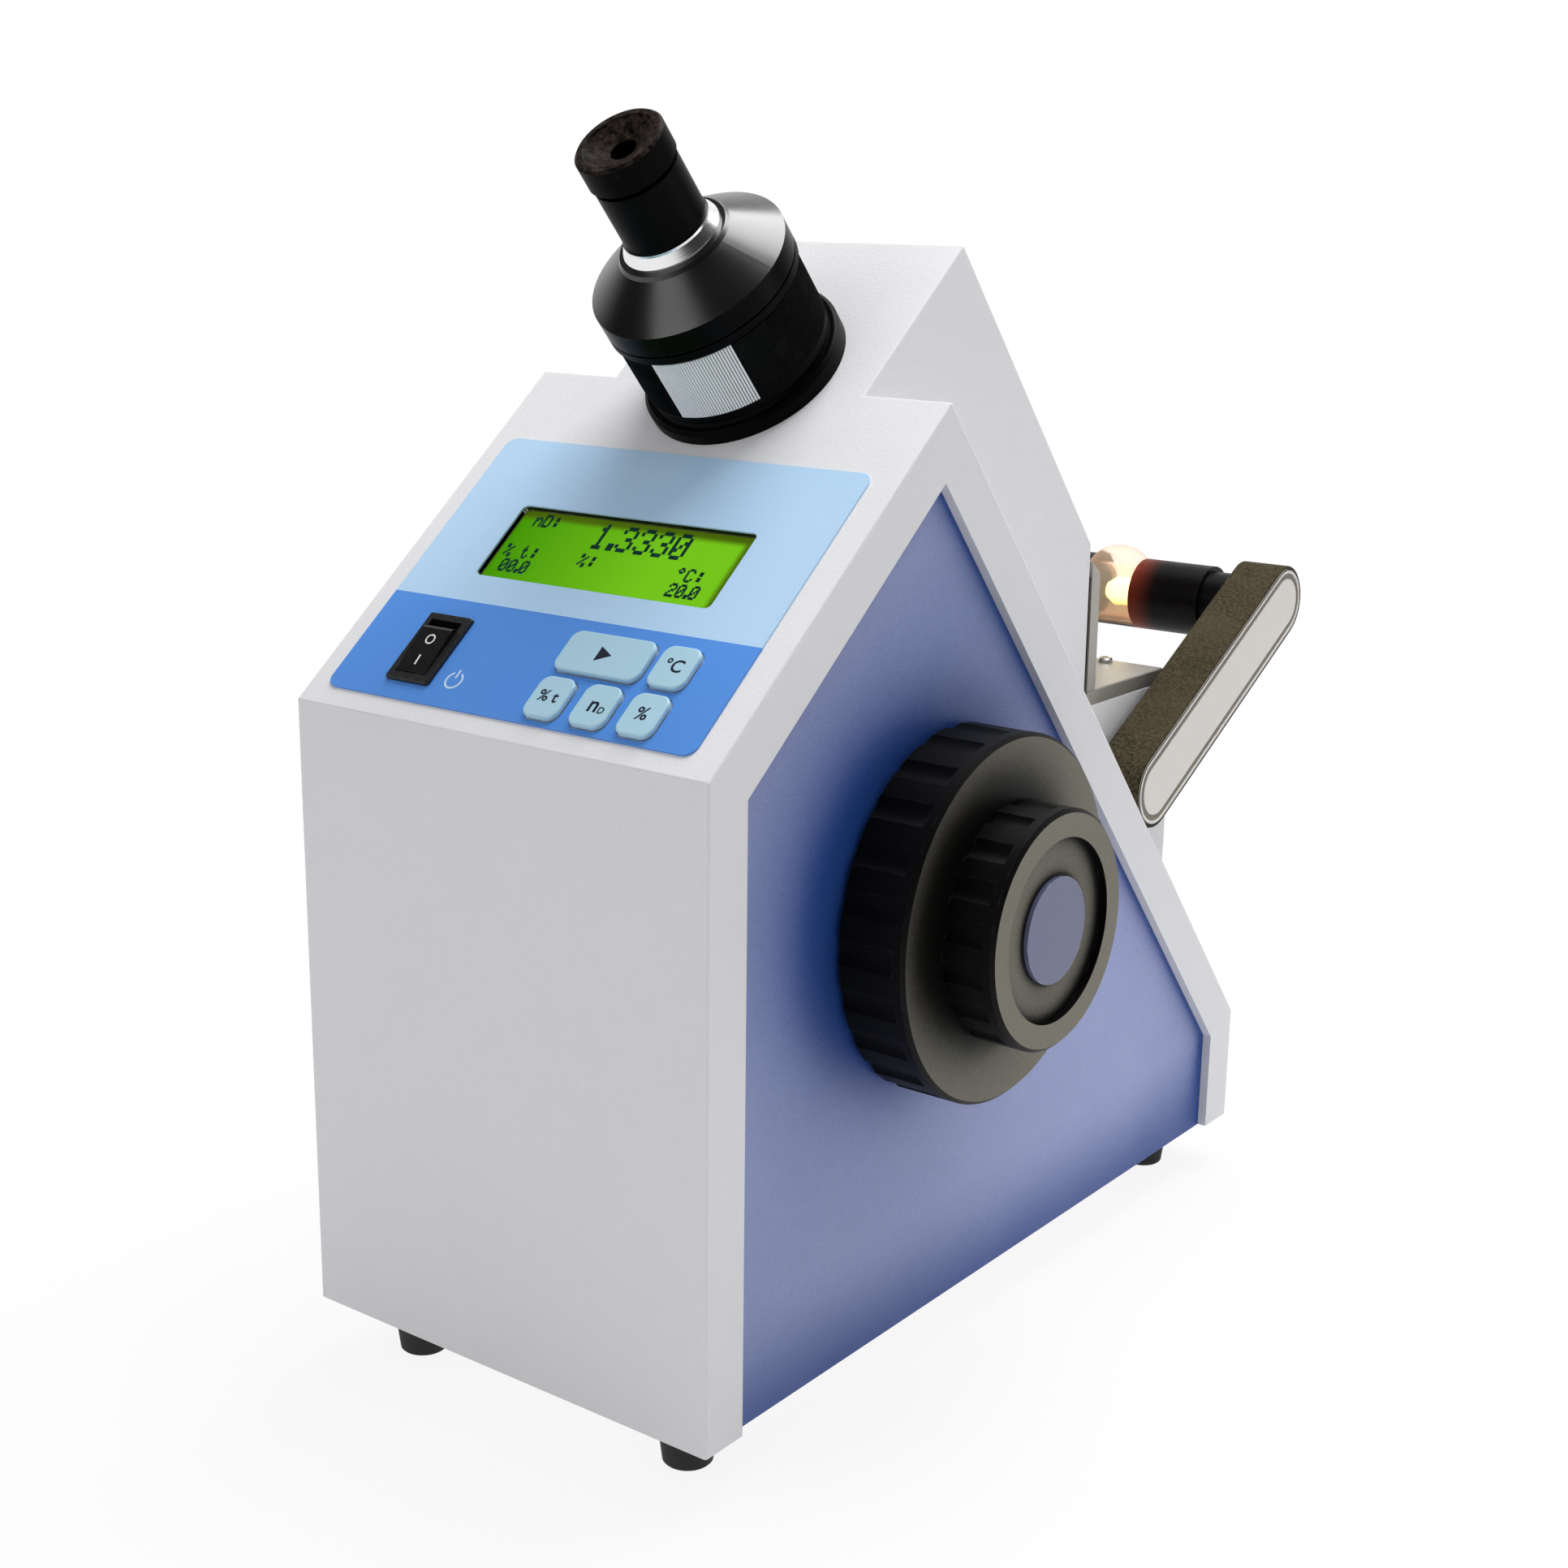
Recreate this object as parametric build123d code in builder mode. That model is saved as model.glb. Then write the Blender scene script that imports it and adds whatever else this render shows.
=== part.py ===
from build123d import *

# A digital Abbe refractometer: a wedge-shaped housing on four rubber feet, a sighting telescope
# with a dispersion wheel on its slope, a handwheel that tips the fold mirror inside, a hinged
# pair of prisms on the stage behind, and a lamp on a swinging arm.
#
# Millimetres. +X is the operator's right, +Y the rear and +Z up. The origin lies on the bench,
# in the middle of the four feet.

import os
from math import acos, atan2, cos, degrees, hypot, pi, radians, sin, tan

# ---------------------------------------------------------------- driving dimensions: housing
BODY_WIDTH = 160.0
BODY_DEPTH = 324.0
FRONT_HEIGHT = 198.3  # flat front face, bottom edge to slope
SLOPE_ANGLE = 39.54  # operating slope, above the horizontal
RIDGE_RUN = 111.4  # front face to the ridge of the wide body
REAR_ANGLE = 49.3  # rear slopes, below the horizontal
PEAK_RUN = 163.4  # front face to the peak of the narrow hump
HUMP_WIDTH = 97.8
HUMP_DEPTH = 252.2  # front face to the hump's rear wall
BOX_DEPTH = 320.0  # front face to the rear wall of the box under the stage
BOX_HEIGHT = 171.1  # bottom edge to the seat of the stage plate
WALL = 3.2
STRIP_WIDTH = 16.8  # frame left around each side opening
EDGE_RADIUS = 0.8
PANEL_LAP = 8.0  # side panel behind the frame
PANEL_THICKNESS = 2.0
BASE_THICKNESS = 2.5
BOARD_THICKNESS = 1.6

# ---------------------------------------------------------------- feet
FOOT_HEIGHT = 18.5
FOOT_RADIUS = 7.7
FOOT_TOP_RADIUS = 9.6
FOOT_X = 55.7
FOOT_INSET = 21.6  # front or rear face to a foot's centre
FOOT_RECESS = 12.0  # bench to the seat of a foot's screw
SCREW_RADIUS = 2.0
SCREW_HEAD_RADIUS = 3.6

# ---------------------------------------------------------------- operating slope
OVERLAY_WIDTH = 142.6
OVERLAY_X = -1.1
OVERLAY_LOW = 6.6  # slope's front edge to the overlay
OVERLAY_LENGTH = 106.4
OVERLAY_THICKNESS = 0.6
OVERLAY_RADIUS = 4.0
DISPLAY_WIDTH = 91.7
DISPLAY_LENGTH = 29.5
DISPLAY_X = -0.85
DISPLAY_S = 71.05  # up the slope
DISPLAY_PANE = 1.5
DISPLAY_FRAME = 4.0  # module's border around the window
KEY_HEIGHT = 2.3
KEY_RADIUS = 3.6
KEY_TRAVEL = 0.6
KEY_STEM_RADIUS = 2.5
KEY_STEM_LENGTH = 6.2
KEY_LOW_S = 16.05
KEY_HIGH_S = 33.5
KEY_LENGTH = 15.0
START_KEY_WIDTH = 31.5
SMALL_KEY_WIDTH = 12.9
SWITCH_X = -42.2
SWITCH_S = 25.8
BEZEL_WIDTH = 17.6
BEZEL_LENGTH = 26.2
BEZEL_HEIGHT = 2.0
ROCKER_OPENING_WIDTH = 12.6
ROCKER_OPENING_LENGTH = 20.8
ROCKER_PIVOT_DEPTH = 4.0
SWITCH_WALL = 1.4
SWITCH_DEPTH = 16.0

# ---------------------------------------------------------------- telescope, heights above the slope
TELESCOPE_X = 0.5
TELESCOPE_S = 151.1
TELESCOPE_LEAN = 2.2  # degrees towards the user, from square to the slope
FLANGE_RADIUS = 32.9
FLANGE_HEIGHT = 7.0
FLANGE_CLEARANCE = 0.4  # neck in the housing's hole
WHEEL_RADIUS = 30.2
WHEEL_SHOULDER_RADIUS = 31.6
WHEEL_SHOULDER = 33.5
WHEEL_TOP = 36.0
HEAD_RADIUS = 31.6
HEAD_CONE = 43.8
HEAD_TOP = 54.6
HEAD_TOP_RADIUS = 17.2
RING_RADIUS = 15.6
RING_TOP = 59.4
TUBE_RADIUS = 15.5
TUBE_BORE = 13.2
TUBE_DEPTH = 78.0  # below the slope
TUBE_TOP = 50.0
EYEPIECE_RADIUS = 13.4
EYEPIECE_TOP = 79.5
EYECUP_RADIUS = 14.1
EYECUP_TOP = 90.6
COLLAR_RADIUS = 11.0
CELL_RADIUS = 9.35
CELL_LENGTH = 26.0
CELL_TRAVEL = 2.5
AMICI_LENGTH = 18.0
AMICI_SIDE = 12.8
AMICI_HEIGHT = 12.0  # lower end of the upper prism cell
PEG_RADIUS = 1.5
WHEEL_TURN = 80.0  # degrees either way
IDLER_RADIUS = 4.9
WHEEL_HUB_RADIUS = 19.0
WHEEL_RIM = 3.4
CELL_BORE = 8.0

# ---------------------------------------------------------------- handwheel and mirror drive
HANDWHEEL_RUN = 119.1  # front face to its axis
HANDWHEEL_HEIGHT = 135.4  # bottom edge to its axis
HANDWHEEL_RADIUS = 57.5
HANDWHEEL_BACK = 78.2
HANDWHEEL_STEP = 101.5
KNOB_RADIUS = 37.3
KNOB_FACE = 118.8
HANDWHEEL_FLUTES = 24
KNOB_FLUTES = 18
FLUTE_DEPTH = 1.5
CAP_RADIUS = 16.6
SHAFT_RADIUS = 6.0
BUSH_RADIUS = 9.0
BUSH_LENGTH = 36.0
PINION_TEETH = 18
SECTOR_TEETH = 172
SECTOR_TEETH_KEPT = 20
GEAR_X = 14.0
GEAR_WIDTH = 6.0
PRESSURE_ANGLE = 20.0
BACKLASH = 0.25
BEAM_RISE = 13.6  # stage's top to the level beam from the prisms
MIRROR_LENGTH = 34.0
MIRROR_WIDTH = 24.0
MIRROR_THICKNESS = 2.6
MIRROR_OFFSET = 6.0  # trunnion axis to the silvered face
TRUNNION_RADIUS = 5.0
ENCODER_RADIUS = 18.0
WEB_X = 26.0
WEB_THICKNESS = 6.0
CHASSIS_FOOT = 8.0  # thickness of the chassis where it sits on the base plate

# ---------------------------------------------------------------- stage and prisms
STAGE_THICKNESS = 5.3
STAGE_DEPTH = 311.0  # front face to the stage's rear edge
STAGE_SCREW_X = 27.0
STAGE_SCREW_INSET = 5.0
GASKET_THICKNESS = 1.7
PLATE_THICKNESS = 5.7
PLATE_HEIGHT = 42.3
PLATE_BEVEL = 4.6
JACKET_WIDTH = 48.0
JACKET_LENGTH = 42.4
LOWER_JACKET_HEIGHT = 23.6
UPPER_JACKET_HEIGHT = 21.85
PRISM_WIDTH = 24.0
SAMPLE_GAP = 0.15
PRISM_CLEARANCE = 0.1  # cement round each prism
KNUCKLE_RADIUS = 3.8
PIN_RADIUS = 2.0
LATCH_RUN = 276.0
LATCH_TURN = 40.0  # released at rest; this much forward to lock
LATCH_DROP = 12.0  # joint between the jackets to the latch spindle
CATCH_RISE = 8.0  # joint between the jackets to the catch pin
CATCH_RADIUS = 1.8
NIPPLE_RADIUS = 3.5
NIPPLE_LENGTH = 15.0
NIPPLE_INSET = 5.8
NIPPLE_LEVEL = 12.6  # from the joint between the jackets

# ---------------------------------------------------------------- lamp arm
ARM_PIVOT_GAP = 30.0  # wide body's rear slope, level with the pivot, to its axis
ARM_PIVOT_HEIGHT = 140.7
ARM_LENGTH = 113.2
ARM_ANGLE = 29.2
ARM_RADIUS = 14.3
ARM_GAP = 2.6  # hump's side to the arm
ARM_THICKNESS = 18.7
PIVOT_COVER = 3.0  # arm's face to the end of its pivot
SPINDLE_COVER = 4.0
PIVOT_COLLAR = 12.0
PIVOT_HEAD = 9.0
PIVOT_HEAD_LENGTH = 6.0
SPINDLE_RADIUS = 7.0
COVER_RADIUS = 13.2
COVER_THICKNESS = 1.2
COVER_SINK = 1.0  # cover's back below the arm's face
COVER_EDGE = 1.7  # cover's edge to its groove
COVER_GROOVE = 2.2
GROOVE_DEPTH = 0.5
PIVOT_RADIUS = 5.0
LAMP_DROP = 3.3  # end of the arm's centre line to the lamp's axis
LAMP_RADIUS = 14.1
LAMP_WALL = 1.6
LAMP_NECK_RADIUS = 12.1
LAMP_NECK = 39.0
LAMP_MOUTH = 8.8
LAMP_WINDOW = 20.5  # length of the opening along the tube
LAMP_END = -30.0
LAMP_BLIND = 6.0  # bore past the window
LAMP_SOCKET = 18.0  # bore from the window to the bulb's seat
BULB_RADIUS = 5.6
BULB_LENGTH = 16.5  # tip to the mouth of the tube
BULB_CLEARANCE = 4.0  # at each end of the bulb's base
GLASS_RADIUS = 14.6
GLASS_OFFSET = 5.3
LAMP_FACING = 125.0  # degrees from the rear, turning up
SPINE_ANGLE = 120.0  # share of the tube wall left behind the glass

# ---------------------------------------------------------------- electronics
BOARD_WIDTH = 54.0
BOARD_LENGTH = 112.0
BOARD_X = -39.0
BOARD_RUN = 206.0  # front face to the main board's middle
BOARD_STANDOFF = 10.0
CORE_WIDTH = 48.0
CORE_LENGTH = 42.0
CORE_HEIGHT = 40.0
COIL_WIDTH = 32.0
COIL_LENGTH = 62.0
COIL_HEIGHT = 24.0
TRANSFORMER_X = -38.0
TRANSFORMER_RUN = 61.0
TRANSFORMER_LUGS = 60.0  # across the lugs that hold it to the base plate
SOCKET_HEIGHT = 21.5  # bottom edge to the middle of the rear sockets
INLET_X = -42.0
INLET_WIDTH = 27.0
INLET_HEIGHT = 19.8
INLET_DEPTH = 22.0
INLET_RIM = 2.0
MAINS_SOCKET_WIDTH = 24.2
MAINS_SOCKET_HEIGHT = 16.4
MAINS_SOCKET_DEPTH = 17.0
MAINS_PIN_PITCH = 14.0
SERIAL_X = 34.0
SERIAL_WIDTH = 19.0
SERIAL_HEIGHT = 10.5
SERIAL_DEPTH = 9.0

# ---------------------------------------------------------------- fits
FIT = 0.05  # radial, between turning parts
SEAM = 0.3  # between parts that move past each other
TRIM = 0.25  # around a key

# ---------------------------------------------------------------- derived places
front = -BODY_DEPTH / 2
rear = BODY_DEPTH / 2
bottom = FOOT_HEIGHT
half_width = BODY_WIDTH / 2
half_hump = HUMP_WIDTH / 2
slope_rise = tan(radians(SLOPE_ANGLE))
rear_fall = tan(radians(REAR_ANGLE))
front_top = bottom + FRONT_HEIGHT
ridge_y, ridge_z = front + RIDGE_RUN, front_top + RIDGE_RUN * slope_rise
peak_y, peak_z = front + PEAK_RUN, front_top + PEAK_RUN * slope_rise
rear_top = ridge_z - (rear - ridge_y) * rear_fall
hump_back = front + HUMP_DEPTH
hump_back_z = peak_z - (hump_back - peak_y) * rear_fall
box_back = front + BOX_DEPTH
box_top = bottom + BOX_HEIGHT
inner_side = half_width - WALL
panel_inner = inner_side - PANEL_THICKNESS
base_top = bottom + BASE_THICKNESS

slope_up = Vector(0, cos(radians(SLOPE_ANGLE)), sin(radians(SLOPE_ANGLE)))
slope_out = Vector(0, -sin(radians(SLOPE_ANGLE)), cos(radians(SLOPE_ANGLE)))
slope = Plane(origin=(0, front, front_top), x_dir=(1, 0, 0), z_dir=slope_out)


def slope_side(x):
    """A plane across the slope at x: its X runs up the slope and its Y out of it."""
    return Plane(origin=(x, front, front_top), x_dir=slope_up, z_dir=(1, 0, 0))


def cross_shaft(y, z):
    """A plane for parts turned about an X-wise axis: its X is the radius and its Y the place."""
    return Plane(origin=(0, y, z), x_dir=(0, 1, 0), z_dir=(0, 0, -1))


def wide_outline(low):
    return [(front, low), (front, front_top), (ridge_y, ridge_z), (rear, rear_top), (rear, low)]


def hump_outline(low):
    return [
        (front, low),
        (front, front_top),
        (peak_y, peak_z),
        (hump_back, hump_back_z),
        (hump_back, box_top),
        (box_back, box_top),
        (box_back, low),
    ]


def outline_face(plane, points, inset=0.0):
    """A face with straight sides on a plane, drawn in by an inset."""
    with BuildSketch(plane) as drawn:
        with BuildLine():
            Polyline(*points, close=True)
        make_face()
        if inset:
            offset(amount=-inset, kind=Kind.INTERSECTION)
    return drawn.sketch


def turn(plane, *points, mode=Mode.ADD):
    """Revolve a (radius, place) outline about the plane's Y axis."""
    revolve(outline_face(plane, points), axis=Axis(plane.origin, plane.y_dir), mode=mode)


def rod(plane, radius, start, end, mode=Mode.ADD):
    """A plain cylinder about the plane's Y axis."""
    turn(plane, (0, start), (radius, start), (radius, end), (0, end), mode=mode)


def block(x, y, z, mode=Mode.ADD):
    """A box given by its three pairs of limits."""
    with Locations(((x[0] + x[1]) / 2, (y[0] + y[1]) / 2, (z[0] + z[1]) / 2)):
        Box(x[1] - x[0], y[1] - y[0], z[1] - z[0], mode=mode)


# The telescope leans towards the user; its plane's X is the radius and its Y the height.
telescope_angle = radians(SLOPE_ANGLE + TELESCOPE_LEAN)
telescope_up = Vector(0, cos(telescope_angle), sin(telescope_angle))
telescope_out = Vector(0, -sin(telescope_angle), cos(telescope_angle))
telescope_foot = slope.from_local_coords((TELESCOPE_X, TELESCOPE_S, 0))
telescope_top = Plane(origin=telescope_foot, x_dir=(1, 0, 0), z_dir=telescope_out)
telescope = Plane(origin=telescope_foot, x_dir=(1, 0, 0), z_dir=-telescope_up)

# The beam leaves the prisms level and is folded up the telescope by the mirror.
stage_top = box_top + STAGE_THICKNESS
beam_z = stage_top + BEAM_RISE
fold_depth = (telescope_foot.Z - beam_z) / cos(telescope_angle)
fold_y = telescope_foot.Y + fold_depth * sin(telescope_angle)
mirror_angle = (90 + degrees(telescope_angle)) / 2
mirror_normal = Vector(0, cos(radians(mirror_angle)), sin(radians(mirror_angle)))
mirror_axis = Vector(0, fold_y, beam_z) - mirror_normal * MIRROR_OFFSET

handwheel_y = front + HANDWHEEL_RUN
handwheel_z = bottom + HANDWHEEL_HEIGHT
gear_distance = hypot(mirror_axis.Y - handwheel_y, mirror_axis.Z - handwheel_z)
gear_module = 2 * gear_distance / (PINION_TEETH + SECTOR_TEETH)
gear_line = degrees(atan2(mirror_axis.Z - handwheel_z, mirror_axis.Y - handwheel_y))

stage_front = hump_back + GASKET_THICKNESS
stage_back = front + STAGE_DEPTH
jacket_front = stage_front + PLATE_THICKNESS
jacket_back = jacket_front + JACKET_LENGTH
jacket_middle = (jacket_front + jacket_back) / 2
half_jacket = JACKET_WIDTH / 2
joint_z = stage_top + LOWER_JACKET_HEIGHT
half_prism = PRISM_WIDTH / 2

arm_z = bottom + ARM_PIVOT_HEIGHT
arm_y = ridge_y + (ridge_z - arm_z) / rear_fall + ARM_PIVOT_GAP
arm_back = half_hump + ARM_GAP
arm_face = arm_back + ARM_THICKNESS
lamp_y = arm_y + ARM_LENGTH * cos(radians(ARM_ANGLE))
lamp_z = arm_z + ARM_LENGTH * sin(radians(ARM_ANGLE)) - LAMP_DROP

# ---------------------------------------------------------------- housing
switch_cut = (
    ROCKER_OPENING_WIDTH + 2 * SWITCH_WALL + 2 * FIT,
    ROCKER_OPENING_LENGTH + 2 * SWITCH_WALL + 2 * FIT,
)
small_step = SMALL_KEY_WIDTH + 4.4
keys = {
    "key_start": (22.25, KEY_HIGH_S, START_KEY_WIDTH),
    "key_temperature": (47.65, KEY_HIGH_S, SMALL_KEY_WIDTH + 0.4),
    "key_left": (13.1, KEY_LOW_S, SMALL_KEY_WIDTH),
    "key_middle": (13.1 + small_step, KEY_LOW_S, SMALL_KEY_WIDTH),
    "key_right": (13.1 + 2 * small_step, KEY_LOW_S, SMALL_KEY_WIDTH),
}
socket_z = bottom + SOCKET_HEIGHT

with BuildPart() as housing:
    extrude(outline_face(Plane.YZ, wide_outline(bottom)), amount=half_width, both=True)
    extrude(outline_face(Plane.YZ, hump_outline(bottom)), amount=half_hump, both=True)
    outer_edges = housing.edges().filter_by(lambda e: e.center().Z > bottom + EDGE_RADIUS)
    fillet(outer_edges.filter_by(lambda e: not e.is_interior), EDGE_RADIUS)
    for cavity, half in ((wide_outline, half_width), (hump_outline, half_hump)):
        extrude(
            outline_face(Plane.YZ, cavity(bottom - 2 * WALL), WALL),
            amount=half - WALL,
            both=True,
            mode=Mode.SUBTRACT,
        )
    extrude(
        outline_face(Plane.YZ, wide_outline(bottom - 2 * STRIP_WIDTH), STRIP_WIDTH),
        amount=BODY_WIDTH,
        both=True,
        mode=Mode.SUBTRACT,
    )
    with BuildSketch(slope):
        with Locations((DISPLAY_X, DISPLAY_S)):
            RectangleRounded(DISPLAY_WIDTH, DISPLAY_LENGTH, 2.0)
        with Locations((SWITCH_X, SWITCH_S)):
            Rectangle(*switch_cut)
        for key_x, key_s, _ in keys.values():
            with Locations((key_x, key_s)):
                Circle(KEY_STEM_RADIUS + FIT)
        with Locations((TELESCOPE_X, TELESCOPE_S)):
            Circle(TUBE_RADIUS + WALL)
    extrude(amount=-2 * WALL, mode=Mode.SUBTRACT)
    with BuildSketch(Plane.XZ.offset(-hump_back)):
        with Locations((0, beam_z)):
            Circle(half_prism)
    extrude(amount=2 * WALL, both=True, mode=Mode.SUBTRACT)
    with BuildSketch(Plane.YZ.offset(half_hump)):
        with Locations((arm_y, arm_z)):
            Circle(PIVOT_RADIUS)
    extrude(amount=-2 * WALL, mode=Mode.SUBTRACT)
    with BuildSketch(Plane.XZ.offset(-rear)):
        with Locations((INLET_X, socket_z)):
            Rectangle(INLET_WIDTH, INLET_HEIGHT)
        with Locations((SERIAL_X, socket_z)):
            Rectangle(SERIAL_WIDTH, SERIAL_HEIGHT)
    extrude(amount=2 * WALL, both=True, mode=Mode.SUBTRACT)
housing.part.label = "housing"

panel_outline = wide_outline(bottom - STRIP_WIDTH + PANEL_LAP)
with BuildPart() as left_panel:
    extrude(
        outline_face(Plane.YZ.offset(-panel_inner), panel_outline, STRIP_WIDTH - PANEL_LAP),
        amount=-PANEL_THICKNESS,
    )
left_panel.part.label = "left_panel"

with BuildPart() as right_panel:
    extrude(
        outline_face(Plane.YZ.offset(panel_inner), panel_outline, STRIP_WIDTH - PANEL_LAP),
        amount=PANEL_THICKNESS,
    )
    rod(cross_shaft(handwheel_y, handwheel_z), SHAFT_RADIUS + 2, 0, half_width, mode=Mode.SUBTRACT)
right_panel.part.label = "right_panel"

# ---------------------------------------------------------------- base plate, feet and their screws
foot_places = [(x, y) for x in (-FOOT_X, FOOT_X) for y in (front + FOOT_INSET, rear - FOOT_INSET)]

with BuildPart() as base_plate:
    block((-panel_inner, panel_inner), (front + WALL, rear - WALL), (bottom, base_top))
    with BuildSketch(Plane.XY.offset(bottom)):
        with Locations(*foot_places):
            Circle(SCREW_RADIUS)
    extrude(amount=BASE_THICKNESS, mode=Mode.SUBTRACT)
base_plate.part.label = "base_plate"

with BuildPart() as feet:
    for x, y in foot_places:
        turn(
            Plane(origin=(x, y, 0), x_dir=(1, 0, 0), z_dir=(0, -1, 0)),
            (SCREW_HEAD_RADIUS + SEAM, 0),
            (FOOT_RADIUS - 0.6, 0),
            (FOOT_RADIUS, 0.6),
            (FOOT_TOP_RADIUS, FOOT_HEIGHT - 3),
            (FOOT_TOP_RADIUS, FOOT_HEIGHT),
            (SCREW_RADIUS + FIT, FOOT_HEIGHT),
            (SCREW_RADIUS + FIT, FOOT_RECESS),
            (SCREW_HEAD_RADIUS + SEAM, FOOT_RECESS),
        )
feet.part.label = "feet"

with BuildPart() as foot_screws:
    for x, y in foot_places:
        screw = Plane(origin=(x, y, 0), x_dir=(1, 0, 0), z_dir=(0, -1, 0))
        rod(screw, SCREW_HEAD_RADIUS, FOOT_RECESS - 2.4, FOOT_RECESS)
        rod(screw, SCREW_RADIUS, FOOT_RECESS - 2.4, base_top + 3)
foot_screws.part.label = "foot_screws"

# ---------------------------------------------------------------- overlay, display and keys
with BuildPart() as panel_overlay:
    with BuildSketch(slope):
        with Locations((OVERLAY_X, OVERLAY_LOW + OVERLAY_LENGTH / 2)):
            RectangleRounded(OVERLAY_WIDTH, OVERLAY_LENGTH, OVERLAY_RADIUS)
        with Locations((DISPLAY_X, DISPLAY_S)):
            RectangleRounded(DISPLAY_WIDTH, DISPLAY_LENGTH, 2.0, mode=Mode.SUBTRACT)
        with Locations((SWITCH_X, SWITCH_S)):
            Rectangle(*switch_cut, mode=Mode.SUBTRACT)
        for key_x, key_s, key_width in keys.values():
            with Locations((key_x, key_s)):
                RectangleRounded(
                    key_width + 2 * TRIM, KEY_LENGTH + 2 * TRIM, KEY_RADIUS, mode=Mode.SUBTRACT
                )
    extrude(amount=OVERLAY_THICKNESS)
panel_overlay.part.label = "panel_overlay"

with BuildPart() as display_window:
    with BuildSketch(slope.offset(-DISPLAY_PANE)):
        with Locations((DISPLAY_X, DISPLAY_S)):
            RectangleRounded(DISPLAY_WIDTH, DISPLAY_LENGTH, 2.0)
    extrude(amount=DISPLAY_PANE)
display_window.part.label = "display_window"

with BuildPart() as display_module:
    module_size = (DISPLAY_WIDTH + 2 * DISPLAY_FRAME, DISPLAY_LENGTH + 2 * DISPLAY_FRAME)
    with BuildSketch(slope.offset(-WALL)):
        with Locations((DISPLAY_X, DISPLAY_S)):
            Rectangle(*module_size)
    extrude(amount=-5)
    with BuildSketch(slope.offset(-WALL - 5)):
        with Locations((DISPLAY_X, DISPLAY_S)):
            Rectangle(module_size[0] + 6, module_size[1] + 4)
    extrude(amount=-BOARD_THICKNESS)
display_module.part.label = "display_module"

key_parts = {}
for key_name, (key_x, key_s, key_width) in keys.items():
    with BuildPart() as key:
        with BuildSketch(slope.offset(KEY_TRAVEL + TRIM)):
            with Locations((key_x, key_s)):
                RectangleRounded(key_width, KEY_LENGTH, KEY_RADIUS)
        extrude(amount=KEY_HEIGHT - KEY_TRAVEL - TRIM)
        fillet(key.faces().sort_by(Axis(slope.origin, slope_out))[-1].edges(), 0.7)
        with BuildSketch(slope.offset(KEY_TRAVEL + TRIM)):
            with Locations((key_x, key_s)):
                Circle(KEY_STEM_RADIUS)
        extrude(amount=-KEY_STEM_LENGTH - KEY_TRAVEL - TRIM)
    key.part.label = key_name
    key_parts[key_name] = key.part

board_depth = KEY_STEM_LENGTH + KEY_TRAVEL + 2.2
with BuildPart() as key_board:
    with BuildSketch(slope.offset(-board_depth)):
        with Locations((31.0, 25.0)):
            Rectangle(60.0, 40.0)
    extrude(amount=-BOARD_THICKNESS)
    with BuildSketch(slope.offset(-board_depth)):
        for key_x, key_s, _ in keys.values():
            with Locations((key_x, key_s)):
                Rectangle(6.0, 6.0)
    extrude(amount=board_depth - KEY_STEM_LENGTH - KEY_TRAVEL - 0.1)
    with BuildSketch(slope.offset(-board_depth)):
        with Locations((31.0, 25.0)):
            with GridLocations(54.0, 34.0, 2, 2):
                Circle(2.0)
    extrude(amount=board_depth - WALL)
key_board.part.label = "key_board"

# ---------------------------------------------------------------- power switch
with BuildPart() as switch_bezel:
    with BuildSketch(slope.offset(OVERLAY_THICKNESS)):
        with Locations((SWITCH_X, SWITCH_S)):
            RectangleRounded(BEZEL_WIDTH, BEZEL_LENGTH, 1.0)
    extrude(amount=BEZEL_HEIGHT - OVERLAY_THICKNESS)
    chamfer(switch_bezel.faces().sort_by(Axis(slope.origin, slope_out))[-1].edges(), 0.5)
    with BuildSketch(slope.offset(OVERLAY_THICKNESS)):
        with Locations((SWITCH_X, SWITCH_S)):
            Rectangle(switch_cut[0] - 2 * FIT, switch_cut[1] - 2 * FIT)
    extrude(amount=-SWITCH_DEPTH)
    with BuildSketch(slope.offset(BEZEL_HEIGHT)):
        with Locations((SWITCH_X, SWITCH_S)):
            Rectangle(ROCKER_OPENING_WIDTH, ROCKER_OPENING_LENGTH)
    extrude(amount=-SWITCH_DEPTH, mode=Mode.SUBTRACT)
    with BuildSketch(slope_side(SWITCH_X)):
        with Locations((SWITCH_S, -ROCKER_PIVOT_DEPTH)):
            Circle(1.2 + FIT)
    extrude(amount=ROCKER_OPENING_WIDTH / 2 + 0.8, both=True, mode=Mode.SUBTRACT)
switch_bezel.part.label = "switch_bezel"

rocker_half = ROCKER_OPENING_LENGTH / 2
with BuildPart() as power_rocker:
    rocker_outline = [
        (SWITCH_S - rocker_half + SEAM, BEZEL_HEIGHT + 0.1),
        (SWITCH_S + 6.0, BEZEL_HEIGHT + 1.4),
        (SWITCH_S + 6.9, BEZEL_HEIGHT + 1.1),
        (SWITCH_S + rocker_half - 0.8, -0.5),
        (SWITCH_S + rocker_half - 0.8, -3.0),
        (SWITCH_S + 4.0, -7.5),
        (SWITCH_S - 4.0, -7.5),
        (SWITCH_S - rocker_half + SEAM, -1.0),
    ]
    extrude(
        outline_face(slope_side(SWITCH_X), rocker_outline),
        amount=ROCKER_OPENING_WIDTH / 2 - TRIM,
        both=True,
    )
    with BuildSketch(slope_side(SWITCH_X)):
        with Locations((SWITCH_S, -ROCKER_PIVOT_DEPTH)):
            Circle(1.2)
    extrude(amount=ROCKER_OPENING_WIDTH / 2 + 0.7, both=True)
power_rocker.part.label = "power_rocker"

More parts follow.
